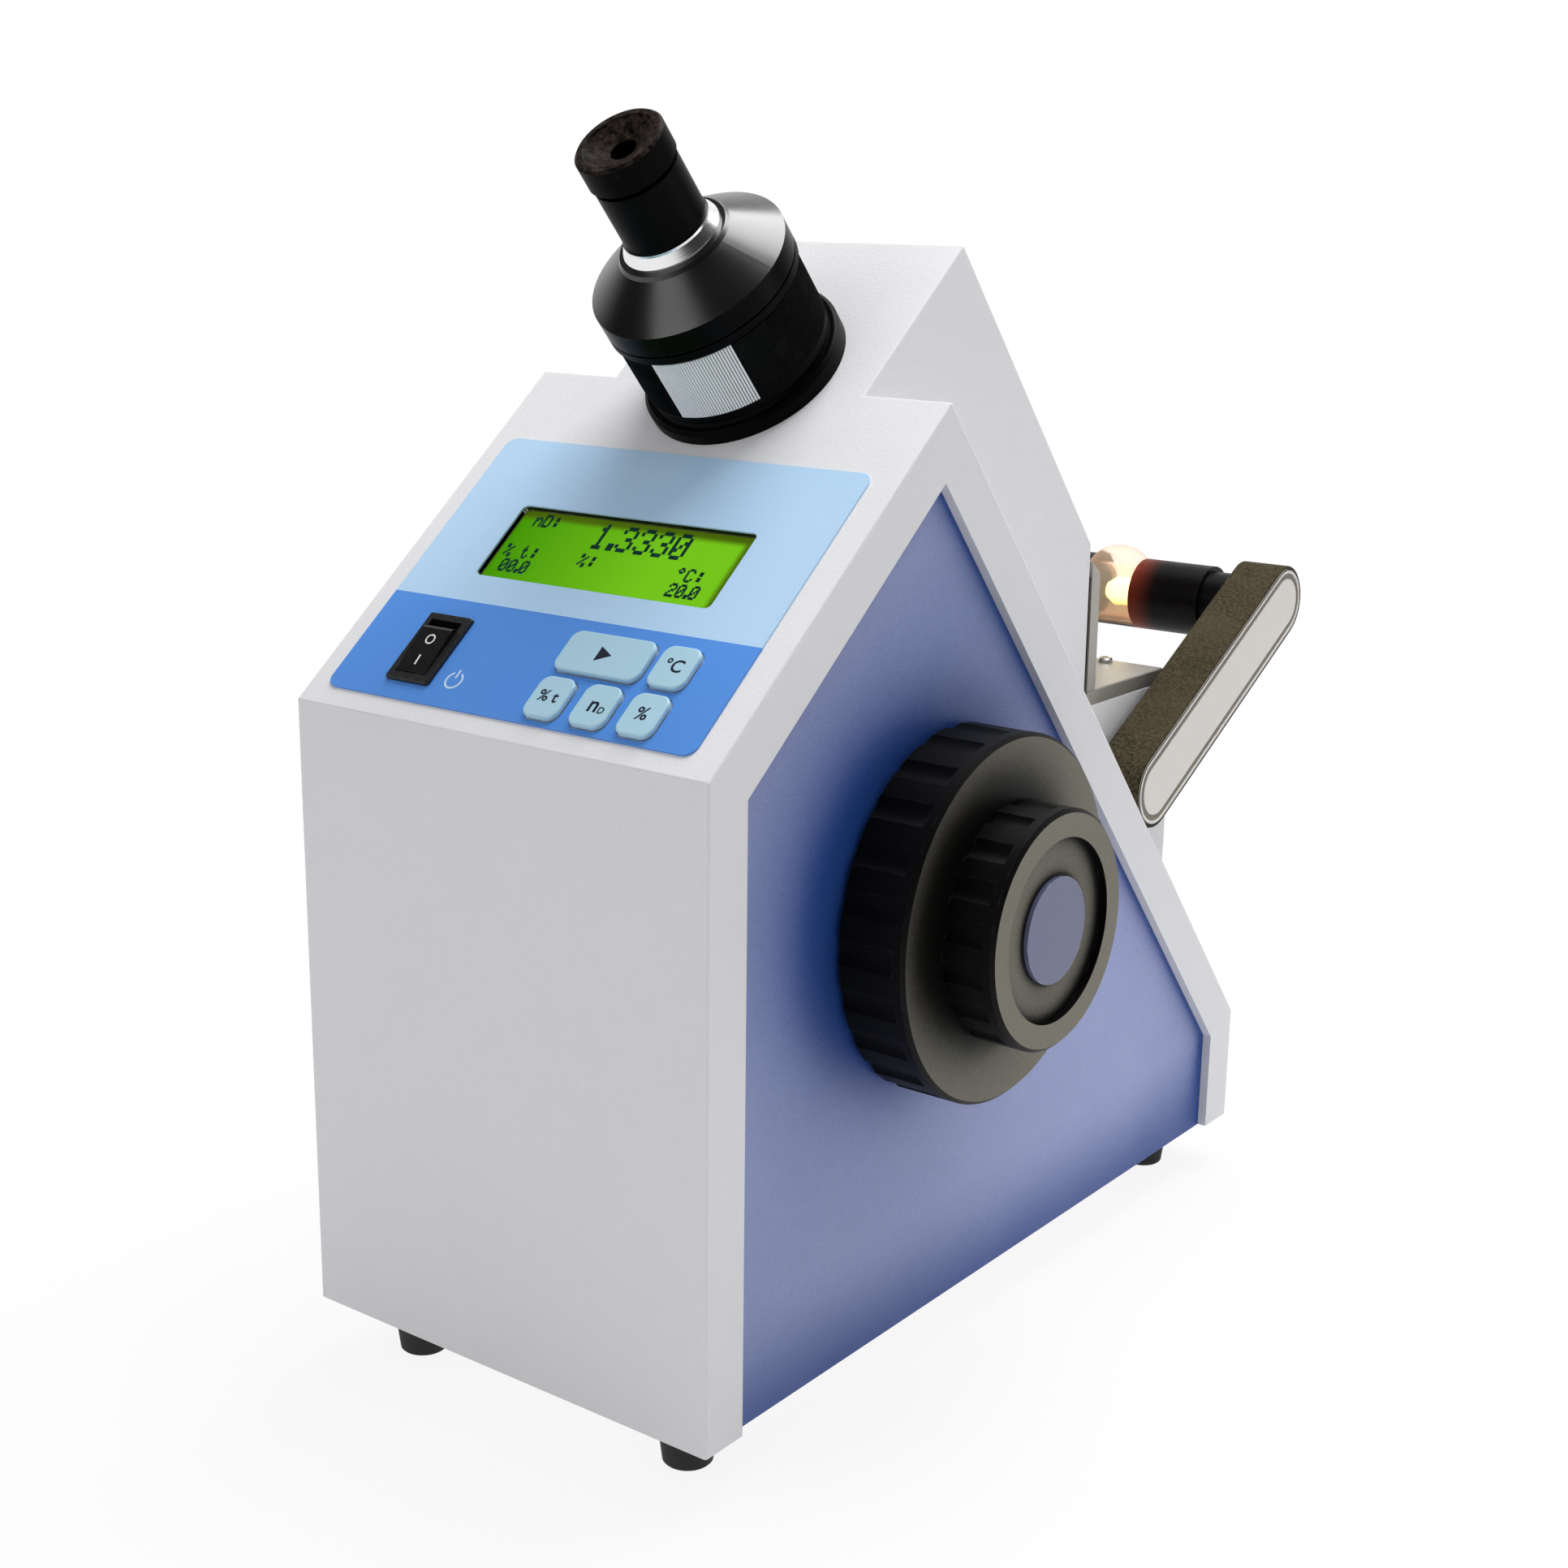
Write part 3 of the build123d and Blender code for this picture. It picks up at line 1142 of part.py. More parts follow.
with BuildPart() as measuring_jacket:
    block((-half_jacket, half_jacket), (jacket_front, jacket_back), (stage_top, joint_z))
    chamfer(measuring_jacket.edges().filter_by(Axis.Z), 1.0)
    for start, end in (knuckle_ends[:2], knuckle_ends[2:]):
        rod(hinge_pin_axis, KNUCKLE_RADIUS, start, end)
        block((hinge_x, -half_jacket), (start, end), (joint_z - KNUCKLE_RADIUS, joint_z))
    rod(hinge_pin_axis, PIN_RADIUS, front, rear, mode=Mode.SUBTRACT)
    extrude(
        outline_face(Plane.YZ, lower_prism, -PRISM_CLEARANCE),
        amount=half_prism + PRISM_CLEARANCE,
        both=True,
        mode=Mode.SUBTRACT,
    )
    with BuildSketch(Plane.XZ.offset(-jacket_front)):
        with Locations((0, beam_z)):
            Circle(half_prism - 4)
    extrude(amount=-6, mode=Mode.SUBTRACT)
    for y in (jacket_front + NIPPLE_INSET, jacket_back - NIPPLE_INSET):
        nipple(y, joint_z - NIPPLE_LEVEL)
    rod(cross_shaft(catch_y, latch_z), PIN_RADIUS + FIT, half_jacket - 8, half_width, mode=Mode.SUBTRACT)
measuring_jacket.part.label = "measuring_jacket"

with BuildPart() as measuring_prism:
    extrude(outline_face(Plane.YZ, lower_prism), amount=half_prism, both=True)
measuring_prism.part.label = "measuring_prism"

with BuildPart() as illuminating_jacket:
    jacket = [
        (jacket_front + SEAM, upper_z),
        (jacket_back, upper_z),
        (jacket_back, upper_z + 8),
        (jacket_back - 12, upper_top),
        (jacket_front + SEAM, upper_top),
    ]
    extrude(outline_face(Plane.YZ, jacket), amount=half_jacket, both=True)
    rod(hinge_pin_axis, KNUCKLE_RADIUS, knuckle_ends[1] + SEAM, knuckle_ends[2] - SEAM)
    block(
        (hinge_x, -half_jacket),
        (knuckle_ends[1] + SEAM, knuckle_ends[2] - SEAM),
        (upper_z, upper_z + KNUCKLE_RADIUS - SAMPLE_GAP),
    )
    rod(hinge_pin_axis, PIN_RADIUS + FIT, front, rear, mode=Mode.SUBTRACT)
    extrude(
        outline_face(Plane.YZ, upper_prism, -PRISM_CLEARANCE),
        amount=half_prism + PRISM_CLEARANCE,
        both=True,
        mode=Mode.SUBTRACT,
    )
    with BuildSketch(Plane.YZ):
        with BuildLine():
            Polyline(
                (jacket_back - 7, upper_z + 5),
                (jacket_back + 4, upper_z + 11),
                (jacket_back - 8, upper_top + 5),
                (jacket_back - 17, upper_top - 6),
                close=True,
            )
        make_face()
    extrude(amount=half_prism - 2, both=True, mode=Mode.SUBTRACT)
    for y in (jacket_middle - NIPPLE_INSET, jacket_middle + NIPPLE_INSET):
        nipple(y, upper_z + NIPPLE_LEVEL)
    rod(cross_shaft(catch_y, catch_z), CATCH_RADIUS, half_jacket - 4, half_jacket + 4)
illuminating_jacket.part.label = "illuminating_jacket"

with BuildPart() as illuminating_prism:
    extrude(outline_face(Plane.YZ, upper_prism), amount=half_prism, both=True)
illuminating_prism.part.label = "illuminating_prism"

with BuildPart() as hinge_pin:
    rod(hinge_pin_axis, PIN_RADIUS, knuckle_ends[0] - 0.5, knuckle_ends[3] + 0.5)
hinge_pin.part.label = "hinge_pin"

hook_x = half_jacket + SEAM
latch_reach = LATCH_DROP + CATCH_RISE
# The hook's own plane: its Y points from the spindle to the hook, swung back from the catch.
hook_plane = Plane(
    origin=(hook_x, catch_y, latch_z),
    x_dir=(0, cos(radians(LATCH_TURN)), -sin(radians(LATCH_TURN))),
    z_dir=(1, 0, 0),
)
with BuildPart() as prism_latch:
    latch_axis = cross_shaft(catch_y, latch_z)
    with BuildSketch(hook_plane):
        Circle(6.0)
        with Locations((0, latch_reach)):
            Circle(6.0)
        with Locations((0, latch_reach / 2)):
            Rectangle(9.0, latch_reach)
        with Locations((-5, latch_reach - 0.3)):
            Rectangle(10.0, 2 * CATCH_RADIUS + 1.4, mode=Mode.SUBTRACT)
        with Locations((0, latch_reach)):
            Circle(CATCH_RADIUS + 0.4, mode=Mode.SUBTRACT)
    extrude(amount=3.0)
    rod(latch_axis, PIN_RADIUS, half_jacket - 7, hook_x + 3)
    rod(latch_axis, 6.5, hook_x + 3, hook_x + 11)
prism_latch.part.label = "prism_latch"

# ---------------------------------------------------------------- lamp arm
def arm_plane(x):
    """A plane across the arm at x: the origin on the pivot and X along the arm."""
    return Plane(
        origin=(x, arm_y, arm_z),
        x_dir=(0, cos(radians(ARM_ANGLE)), sin(radians(ARM_ANGLE))),
        z_dir=(1, 0, 0),
    )


arm_pivot_axis = cross_shaft(arm_y, arm_z)
lamp_axis = cross_shaft(lamp_y, lamp_z)

with BuildPart() as lamp_arm:
    with BuildSketch(arm_plane(arm_back)):
        with Locations((ARM_LENGTH / 2, 0)):
            SlotCenterToCenter(ARM_LENGTH, 2 * ARM_RADIUS)
    extrude(amount=arm_face - arm_back)
    fillet(lamp_arm.edges().group_by(Axis.X)[-1], 0.8)
    with BuildSketch(arm_plane(arm_face)):
        with Locations((ARM_LENGTH / 2, 0)):
            SlotCenterToCenter(ARM_LENGTH, 2 * COVER_RADIUS)
    extrude(amount=-COVER_SINK, mode=Mode.SUBTRACT)
    rod(arm_pivot_axis, PIVOT_RADIUS + FIT, arm_back, arm_face - PIVOT_COVER, mode=Mode.SUBTRACT)
    rod(lamp_axis, SPINDLE_RADIUS + FIT, arm_back, arm_face - SPINDLE_COVER, mode=Mode.SUBTRACT)
lamp_arm.part.label = "lamp_arm"

with BuildPart() as arm_cover:
    groove_radius = COVER_RADIUS - COVER_EDGE
    with BuildSketch(arm_plane(arm_face - COVER_SINK)):
        with Locations((ARM_LENGTH / 2, 0)):
            SlotCenterToCenter(ARM_LENGTH, 2 * COVER_RADIUS)
    extrude(amount=COVER_THICKNESS)
    with BuildSketch(arm_plane(arm_face - COVER_SINK + COVER_THICKNESS)):
        with Locations((ARM_LENGTH / 2, 0)):
            SlotCenterToCenter(ARM_LENGTH, 2 * groove_radius)
            SlotCenterToCenter(ARM_LENGTH, 2 * (groove_radius - COVER_GROOVE), mode=Mode.SUBTRACT)
    extrude(amount=-GROOVE_DEPTH, mode=Mode.SUBTRACT)
arm_cover.part.label = "arm_cover"

with BuildPart() as arm_pivot:
    turn(
        arm_pivot_axis,
        (0, half_hump - WALL - PIVOT_HEAD_LENGTH),
        (PIVOT_HEAD, half_hump - WALL - PIVOT_HEAD_LENGTH),
        (PIVOT_HEAD, half_hump - WALL),
        (PIVOT_RADIUS, half_hump - WALL),
        (PIVOT_RADIUS, half_hump),
        (PIVOT_COLLAR, half_hump),
        (PIVOT_COLLAR, arm_back - FIT),
        (PIVOT_RADIUS, arm_back - FIT),
        (PIVOT_RADIUS, arm_face - PIVOT_COVER - FIT),
        (0, arm_face - PIVOT_COVER - FIT),
    )
arm_pivot.part.label = "arm_pivot"

# ---------------------------------------------------------------- lamp
window_back = LAMP_MOUTH - LAMP_WINDOW
facing = Plane(
    origin=(window_back, lamp_y, lamp_z),
    x_dir=(0, cos(radians(LAMP_FACING)), sin(radians(LAMP_FACING))),
    z_dir=(1, 0, 0),
)


def window_sector(reach):
    """The sector of a circle that the lamp's window takes, opening about the facing way."""
    half = 180 - SPINE_ANGLE / 2
    with BuildSketch(facing) as sector:
        with BuildLine():
            arc = CenterArc((0, 0), reach, -half, 2 * half)
            Polyline(arc @ 1, (0, 0), arc @ 0)
        make_face()
    return sector.sketch


with BuildPart() as lamp_tube:
    turn(
        lamp_axis,
        (0, LAMP_END),
        (LAMP_RADIUS - 1, LAMP_END),
        (LAMP_RADIUS, LAMP_END + 1),
        (LAMP_RADIUS, LAMP_NECK),
        (LAMP_NECK_RADIUS, LAMP_NECK),
        (LAMP_NECK_RADIUS, arm_back - FIT),
        (SPINDLE_RADIUS, arm_back - FIT),
        (SPINDLE_RADIUS, arm_face - SPINDLE_COVER - FIT),
        (0, arm_face - SPINDLE_COVER - FIT),
    )
    bore_ends = (window_back - LAMP_BLIND, LAMP_MOUTH + LAMP_SOCKET)
    rod(lamp_axis, LAMP_RADIUS - LAMP_WALL, *bore_ends, mode=Mode.SUBTRACT)
    extrude(window_sector(2 * LAMP_RADIUS), amount=LAMP_WINDOW, mode=Mode.SUBTRACT)
lamp_tube.part.label = "lamp_tube"

with BuildPart() as lamp_window:
    glass_clear = 0.1
    rod(lamp_axis, LAMP_RADIUS - 0.2, window_back + glass_clear, LAMP_MOUTH - glass_clear)
    with Locations(facing.from_local_coords((GLASS_OFFSET, 0, LAMP_WINDOW / 2))):
        Sphere(GLASS_RADIUS)
    with BuildSketch(facing.offset(glass_clear)):
        Circle(3 * LAMP_RADIUS)
    extrude(amount=LAMP_WINDOW - 2 * glass_clear, mode=Mode.INTERSECT)
    spine = window_sector(3 * LAMP_RADIUS)
    with BuildSketch(facing) as behind:
        Circle(2.5 * LAMP_RADIUS)
        Circle(LAMP_RADIUS - LAMP_WALL - glass_clear, mode=Mode.SUBTRACT)
        add(facing.to_local_coords(spine), mode=Mode.SUBTRACT)
    extrude(behind.sketch, amount=LAMP_WINDOW, mode=Mode.SUBTRACT)
    rod(lamp_axis, LAMP_RADIUS - LAMP_WALL - 2, LAMP_END, LAMP_NECK, mode=Mode.SUBTRACT)
lamp_window.part.label = "lamp_window"

with BuildPart() as lamp_bulb:
    base_start = LAMP_MOUTH + BULB_CLEARANCE
    base_end = LAMP_MOUTH + LAMP_SOCKET - BULB_CLEARANCE
    turn(
        lamp_axis,
        (0, LAMP_MOUTH - BULB_LENGTH),
        (0.6 * BULB_RADIUS, LAMP_MOUTH + 0.6 - BULB_LENGTH),
        (BULB_RADIUS, LAMP_MOUTH + 4 - BULB_LENGTH),
        (BULB_RADIUS, LAMP_MOUTH + 9 - BULB_LENGTH),
        (0.8 * BULB_RADIUS, LAMP_MOUTH - 2),
        (0.8 * BULB_RADIUS, base_start),
        (LAMP_RADIUS - LAMP_WALL - FIT, base_start),
        (LAMP_RADIUS - LAMP_WALL - FIT, base_end),
        (0, base_end),
    )
lamp_bulb.part.label = "lamp_bulb"

# ---------------------------------------------------------------- files
pieces = [
    housing, left_panel, right_panel, base_plate, feet, foot_screws,
    panel_overlay, display_window, display_module, key_board, switch_bezel, power_rocker,
    telescope_flange, telescope_tube, dispersion_wheel, telescope_head, eyepiece_ring,
    eyepiece_tube, eyecup, lens_cell, eyepiece_lenses, telescope_lenses,
    amici_prism_upper, amici_prism_lower, compensator_idler,
    handwheel, handwheel_cap, pinion_shaft, sector_gear,
    mirror_holder, fold_mirror, encoder_disc, encoder_head, optics_chassis, shaft_bush,
    main_board, transformer, power_inlet, serial_socket,
    stage_plate, stage_screws, prism_plate, plate_gasket,
    measuring_jacket, measuring_prism, illuminating_jacket, illuminating_prism,
    hinge_pin, prism_latch,
    lamp_arm, arm_cover, arm_pivot, lamp_tube, lamp_window, lamp_bulb,
]
os.makedirs("parts", exist_ok=True)
for solid in [piece.part for piece in pieces] + list(key_parts.values()):
    export_step(solid, f"parts/{solid.label}.step")
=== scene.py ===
from math import atan2, cos, pi, radians, sin

import bmesh
import bpy
from mathutils import Matrix, Vector


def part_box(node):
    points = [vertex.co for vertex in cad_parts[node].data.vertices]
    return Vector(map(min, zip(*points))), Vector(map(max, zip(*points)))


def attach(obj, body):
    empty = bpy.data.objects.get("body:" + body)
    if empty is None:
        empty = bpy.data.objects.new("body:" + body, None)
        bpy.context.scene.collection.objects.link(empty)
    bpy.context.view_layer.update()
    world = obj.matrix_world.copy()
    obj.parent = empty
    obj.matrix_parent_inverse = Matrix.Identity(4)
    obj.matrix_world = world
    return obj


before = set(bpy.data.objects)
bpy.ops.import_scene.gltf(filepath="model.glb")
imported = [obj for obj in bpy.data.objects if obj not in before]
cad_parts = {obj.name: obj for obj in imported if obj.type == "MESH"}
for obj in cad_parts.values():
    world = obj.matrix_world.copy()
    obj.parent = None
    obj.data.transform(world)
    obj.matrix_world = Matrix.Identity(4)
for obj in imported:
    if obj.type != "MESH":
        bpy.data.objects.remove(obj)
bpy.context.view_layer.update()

bl_info = {
    "name": "Bench refractometer dressing",
    "version": (1, 0, 0),
    "blender": (4, 5, 0),
    "location": "View3D > Sidebar > Refractometer",
    "description": "Finishes, printing, display, grips and studio for a bench refractometer",
    "category": "Object",
}

MM = 0.001


def middle_of(node):
    """The middle of a CAD node's box."""
    low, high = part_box(node)
    return (low + high) / 2


# ------------------------------------------------------------------ places taken from the frame
SIDEWAYS = Vector((1.0, 0.0, 0.0))
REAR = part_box("housing")[1].y
# The operating slope, and the telescope that leans a little from square to it.
SLOPE_ANGLE = radians(39.54)
SLOPE_FOOT = Vector((0.0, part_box("housing")[0].y, 0.2168))
SLOPE_UP = Vector((0.0, cos(SLOPE_ANGLE), sin(SLOPE_ANGLE)))
SLOPE_OUT = Vector((0.0, -sin(SLOPE_ANGLE), cos(SLOPE_ANGLE)))
SIGHT_ANGLE = SLOPE_ANGLE + radians(2.2)
SIGHT_UP = Vector((0.0, cos(SIGHT_ANGLE), sin(SIGHT_ANGLE)))
SIGHT_OUT = Vector((0.0, -sin(SIGHT_ANGLE), cos(SIGHT_ANGLE)))
# Middles across and up the slope, in millimetres.
TELESCOPE = (0.5, 151.1)
DISPLAY = (-0.85, 71.05)
DISPLAY_SIZE = (91.7, 29.5)
SWITCH = (-42.2, 25.8)
POWER_SIGN = (-25.6, 16.6)
KEYS = {
    "key_start": (22.25, 33.5),
    "key_temperature": (47.65, 33.5),
    "key_left": (13.1, 16.05),
    "key_middle": (30.4, 16.05),
    "key_right": (47.7, 16.05),
}
# Heights out of the slope, in millimetres: the keys, the overlay's face, and what is behind the pane.
KEY_TOP = 2.3
OVERLAY_TOP = 0.6
GASKET_LEVELS = (-1.51, -1.56)
DOT_LEVEL = -1.55
SHEET_LEVEL = -1.62
# The display is lit most about a place down and to the left, as the opening shades its other edges.
LIT_MIDDLE = (DISPLAY[0] - 1.8, DISPLAY[1] - 1.3)
# Radii to the middle of the ribs on the dispersion wheel, and over the handwheel's rim.
GRIP_RADIUS = 30.2
WHEEL_RADIUS = 57.5
# The lamp arm's pivot, along Y and Z, and the way to the lamp at its other end.
ARM_PIVOT = (0.108, 0.1592)
ARM_ANGLE = radians(29.2)
ARM_LENGTH = 113.2
CAMERA_PLACE = Vector((0.44314, -0.61235, 0.36708))
CAMERA_LOOK = Vector((-0.58159, 0.77369, -0.25131))


def slope_matrix(x, s, height=0.0):
    """Millimetres across, up and out of the operating slope, as metres in the row frame."""
    place = SLOPE_FOOT + SIDEWAYS * (x * MM) + SLOPE_UP * (s * MM) + SLOPE_OUT * (height * MM)
    turned = Matrix((SIDEWAYS, SLOPE_UP, SLOPE_OUT)).transposed().to_4x4()
    return Matrix.Translation(place) @ turned @ Matrix.Scale(MM, 4)


def telescope_matrix():
    """Millimetres about the telescope's axis, as metres in the row frame."""
    turned = Matrix((SIDEWAYS, SIGHT_UP, SIGHT_OUT)).transposed().to_4x4()
    foot = slope_matrix(*TELESCOPE).translation
    return Matrix.Translation(foot) @ turned @ Matrix.Scale(MM, 4)


def rear_matrix(x, level):
    """Millimetres on the rear wall, with Z out of it, as metres in the row frame."""
    turned = Matrix.Rotation(radians(-90), 4, "X")
    return Matrix.Translation((x, REAR, level)) @ turned @ Matrix.Scale(MM, 4)


# ------------------------------------------------------------------ sizes and colours to change
class PaintSettings(bpy.types.PropertyGroup):
    body: bpy.props.FloatVectorProperty(
        name="Body paint", description="Off-white paint of the housing", subtype="COLOR",
        size=3, min=0, max=1, default=(0.80, 0.80, 0.815),
    )
    side: bpy.props.FloatVectorProperty(
        name="Side paint", description="Blue-violet paint of the side panels", subtype="COLOR",
        size=3, min=0, max=1, default=(0.29, 0.325, 0.56),
    )
    grain: bpy.props.FloatProperty(
        name="Paint grain", description="Size of the paint's texture", subtype="DISTANCE",
        default=0.0009, min=0.0002, max=0.01,
    )


class PanelSettings(bpy.types.PropertyGroup):
    upper: bpy.props.FloatVectorProperty(
        name="Upper blue", description="Overlay round the display", subtype="COLOR",
        size=3, min=0, max=1, default=(0.48, 0.70, 0.93),
    )
    lower: bpy.props.FloatVectorProperty(
        name="Lower blue", description="Overlay round the keys", subtype="COLOR",
        size=3, min=0, max=1, default=(0.10, 0.335, 0.90),
    )
    split: bpy.props.FloatProperty(
        name="Colour change", description="Place up the slope where the two blues meet, in mm",
        default=45.8, min=20, max=60,
    )
    reading: bpy.props.StringProperty(
        name="Reading", description="Figures on the display", default="1.3330",
    )
    glow: bpy.props.FloatProperty(
        name="Display glow", description="Strength of the display's backlight",
        default=0.95, min=0, max=3,
    )
    dot: bpy.props.FloatProperty(
        name="Display dot", description="Pitch of the display's dots up the slope, in mm",
        default=0.72, min=0.3, max=1.5,
    )


class GripSettings(bpy.types.PropertyGroup):
    ribs: bpy.props.IntProperty(
        name="Grip ribs", description="Fine ribs round the dispersion wheel",
        default=212, min=60, max=360,
    )
    low: bpy.props.FloatProperty(
        name="Grip's lower edge", description="Height above the slope, in mm", default=10.5,
    )
    high: bpy.props.FloatProperty(
        name="Grip's upper edge", description="Height above the slope, in mm", default=32.3,
    )


class LampSettings(bpy.types.PropertyGroup):
    glow: bpy.props.FloatProperty(
        name="Lamp glow", description="Strength of the lit filament bulb", default=1.7, min=0,
    )


# ------------------------------------------------------------------ node helpers
def add_node(tree, kind, **settings):
    node = tree.nodes.new(kind)
    for name, value in settings.items():
        setattr(node, name, value)
    return node


def feed(tree, socket, value):
    """Give a socket another node's output or a plain value."""
    if isinstance(value, bpy.types.NodeSocket):
        tree.links.new(value, socket)
    else:
        socket.default_value = value


def feed_named(tree, node, **values):
    """Feed inputs by their names, with _ for a space."""
    for label, value in values.items():
        feed(tree, node.inputs[label.replace("_", " ")], value)


def calculate(tree, operation, *values, clamp=False):
    """One step of arithmetic on numbers and outputs."""
    node = add_node(tree, "ShaderNodeMath", operation=operation, use_clamp=clamp)
    for socket, value in zip(node.inputs, values):
        feed(tree, socket, value)
    return node.outputs[0]


def scaled(tree, value, factor, plus=0.0):
    """A value times a factor, with an offset added."""
    return calculate(tree, "MULTIPLY_ADD", value, factor, plus)


def largest(tree, first, *others):
    """The largest of several masks."""
    for other in others:
        first = calculate(tree, "MAXIMUM", first, other)
    return first


def on_vectors(tree, operation, *values):
    """One step of vector arithmetic; a product, a distance and a length are numbers."""
    node = add_node(tree, "ShaderNodeVectorMath", operation=operation)
    for socket, value in zip(node.inputs, values):
        feed(tree, socket, value)
    return node.outputs["Value" if operation in ("DOT_PRODUCT", "DISTANCE", "LENGTH") else "Vector"]


def ramp(tree, value, start, end, low=0.0, high=1.0, smooth=False):
    """Low where the value is at its start, high at its end, and held beyond them."""
    node = add_node(tree, "ShaderNodeMapRange", interpolation_type="SMOOTHSTEP" if smooth else "LINEAR")
    feed_named(tree, node, Value=value, From_Min=start, From_Max=end, To_Min=low, To_Max=high)
    return node.outputs["Result"]


def part_of(tree, vector, axis):
    node = add_node(tree, "ShaderNodeSeparateXYZ")
    tree.links.new(vector, node.inputs[0])
    return node.outputs[axis]


def object_place(tree):
    return add_node(tree, "ShaderNodeTexCoord").outputs["Object"]


def surface_normal(tree, kind="Normal"):
    return add_node(tree, "ShaderNodeNewGeometry").outputs[kind]


def object_noise(tree, scale, detail=2.0, roughness=0.5):
    noise = add_node(tree, "ShaderNodeTexNoise")
    feed_named(tree, noise, Vector=object_place(tree), Scale=scale, Detail=detail, Roughness=roughness)
    return noise.outputs["Fac"]


def mix_colour(tree, amount, first, second):
    """A mix of two colours by a mask; a colour is a tuple or a socket."""
    mix = add_node(tree, "ShaderNodeMix", data_type="RGBA")
    tree.links.new(amount, mix.inputs["Factor"])
    for socket, colour in ((mix.inputs[6], first), (mix.inputs[7], second)):
        feed(tree, socket, colour if isinstance(colour, bpy.types.NodeSocket) else (*colour[:3], 1))
    return mix.outputs[2]


def mix_surface(tree, amount, first, second, end):
    """Two shaders mixed by a mask into the tree's output node."""
    mix = add_node(tree, "ShaderNodeMixShader")
    for socket, value in zip(mix.inputs, (amount, first, second)):
        tree.links.new(value, socket)
    tree.links.new(mix.outputs[0], tree.nodes[end].inputs["Surface"])


def new_group(name, kind, inputs, outputs):
    """An empty node group with its named sockets."""
    group = bpy.data.node_groups.new(name, kind)
    for label, socket_kind, *default in inputs:
        socket = group.interface.new_socket(label, in_out="INPUT", socket_type=socket_kind)
        if default:
            socket.default_value = default[0]
    for label, socket_kind in outputs:
        group.interface.new_socket(label, in_out="OUTPUT", socket_type=socket_kind)
    return group, add_node(group, "NodeGroupInput").outputs, add_node(group, "NodeGroupOutput").inputs


# ------------------------------------------------------------------ shader groups
def grain_group():
    """Fine grain of moulded or painted surfaces: a shade from 0 to 1 and a height."""
    group, inside, outside = new_group(
        "grain", "ShaderNodeTree",
        [("Size", "NodeSocketFloat", 0.001), ("Mottle Size", "NodeSocketFloat", 0.03)],
        [("Shade", "NodeSocketFloat"), ("Mottle", "NodeSocketFloat"), ("Height", "NodeSocketFloat")],
    )
    for size, label, detail in (("Size", "Shade", 3.0), ("Mottle Size", "Mottle", 2.0)):
        noise = object_noise(group, calculate(group, "DIVIDE", 1.0, inside[size]), detail, 0.6)
        group.links.new(ramp(group, noise, 0.3, 0.7), outside[label])
        if label == "Shade":
            group.links.new(noise, outside["Height"])
    return group


def edge_group():
    """Where edges stand out: 1 on a worn edge, 0 on the faces."""
    group, inside, outside = new_group(
        "edge_wear", "ShaderNodeTree",
        [("Width", "NodeSocketFloat", 0.0006), ("Break", "NodeSocketFloat", 0.5)],
        [("Mask", "NodeSocketFloat")],
    )
    bevel = add_node(group, "ShaderNodeBevel", samples=4)
    group.links.new(inside["Width"], bevel.inputs["Radius"])
    likeness = on_vectors(group, "DOT_PRODUCT", bevel.outputs["Normal"], surface_normal(group))
    bend = ramp(group, likeness, 0.995, 0.8)
    broken = ramp(group, object_noise(group, 220.0), inside["Break"], 0.7)
    group.links.new(calculate(group, "MULTIPLY", bend, broken), outside["Mask"])
    return group


def dust_group():
    """A little dust on what faces up."""
    group, inside, outside = new_group(
        "dust", "ShaderNodeTree", [("Amount", "NodeSocketFloat", 0.2)], [("Mask", "NodeSocketFloat")]
    )
    top = ramp(group, part_of(group, surface_normal(group), "Z"), 0.3, 1.0)
    specks = ramp(group, object_noise(group, 900.0), 0.5, 0.75)
    soft = calculate(group, "MULTIPLY", top, specks)
    group.links.new(calculate(group, "MULTIPLY", soft, inside["Amount"]), outside["Mask"])
    return group


def turning_group():
    """Rings left by a lathe, about an axis through a place: a height that varies along the axis."""
    group, inside, outside = new_group(
        "turning_marks", "ShaderNodeTree",
        [
            ("Origin", "NodeSocketVector", (0, 0, 0)),
            ("Axis", "NodeSocketVector", (0, 0, 1)),
            ("Pitch", "NodeSocketFloat", 0.0004),
        ],
        [("Height", "NodeSocketFloat")],
    )
    offset = on_vectors(group, "SUBTRACT", object_place(group), inside["Origin"])
    along = on_vectors(group, "DOT_PRODUCT", offset, inside["Axis"])
    away = on_vectors(group, "DISTANCE", offset, on_vectors(group, "MULTIPLY", inside["Axis"], along))
    rings = calculate(group, "DIVIDE", calculate(group, "ADD", along, away), inside["Pitch"])
    noise = add_node(group, "ShaderNodeTexNoise", noise_dimensions="1D")
    feed_named(group, noise, W=rings, Scale=1.0)
    group.links.new(noise.outputs["Fac"], outside["Height"])
    return group


# ------------------------------------------------------------------ geometry nodes for repeats
def new_grower(name, inputs):
    """An empty geometry tree that takes and gives geometry, and a material with it."""
    inputs = (("Geometry", "NodeSocketGeometry"), *inputs, ("Material", "NodeSocketMaterial"))
    return new_group(name, "GeometryNodeTree", inputs, [("Geometry", "NodeSocketGeometry")])


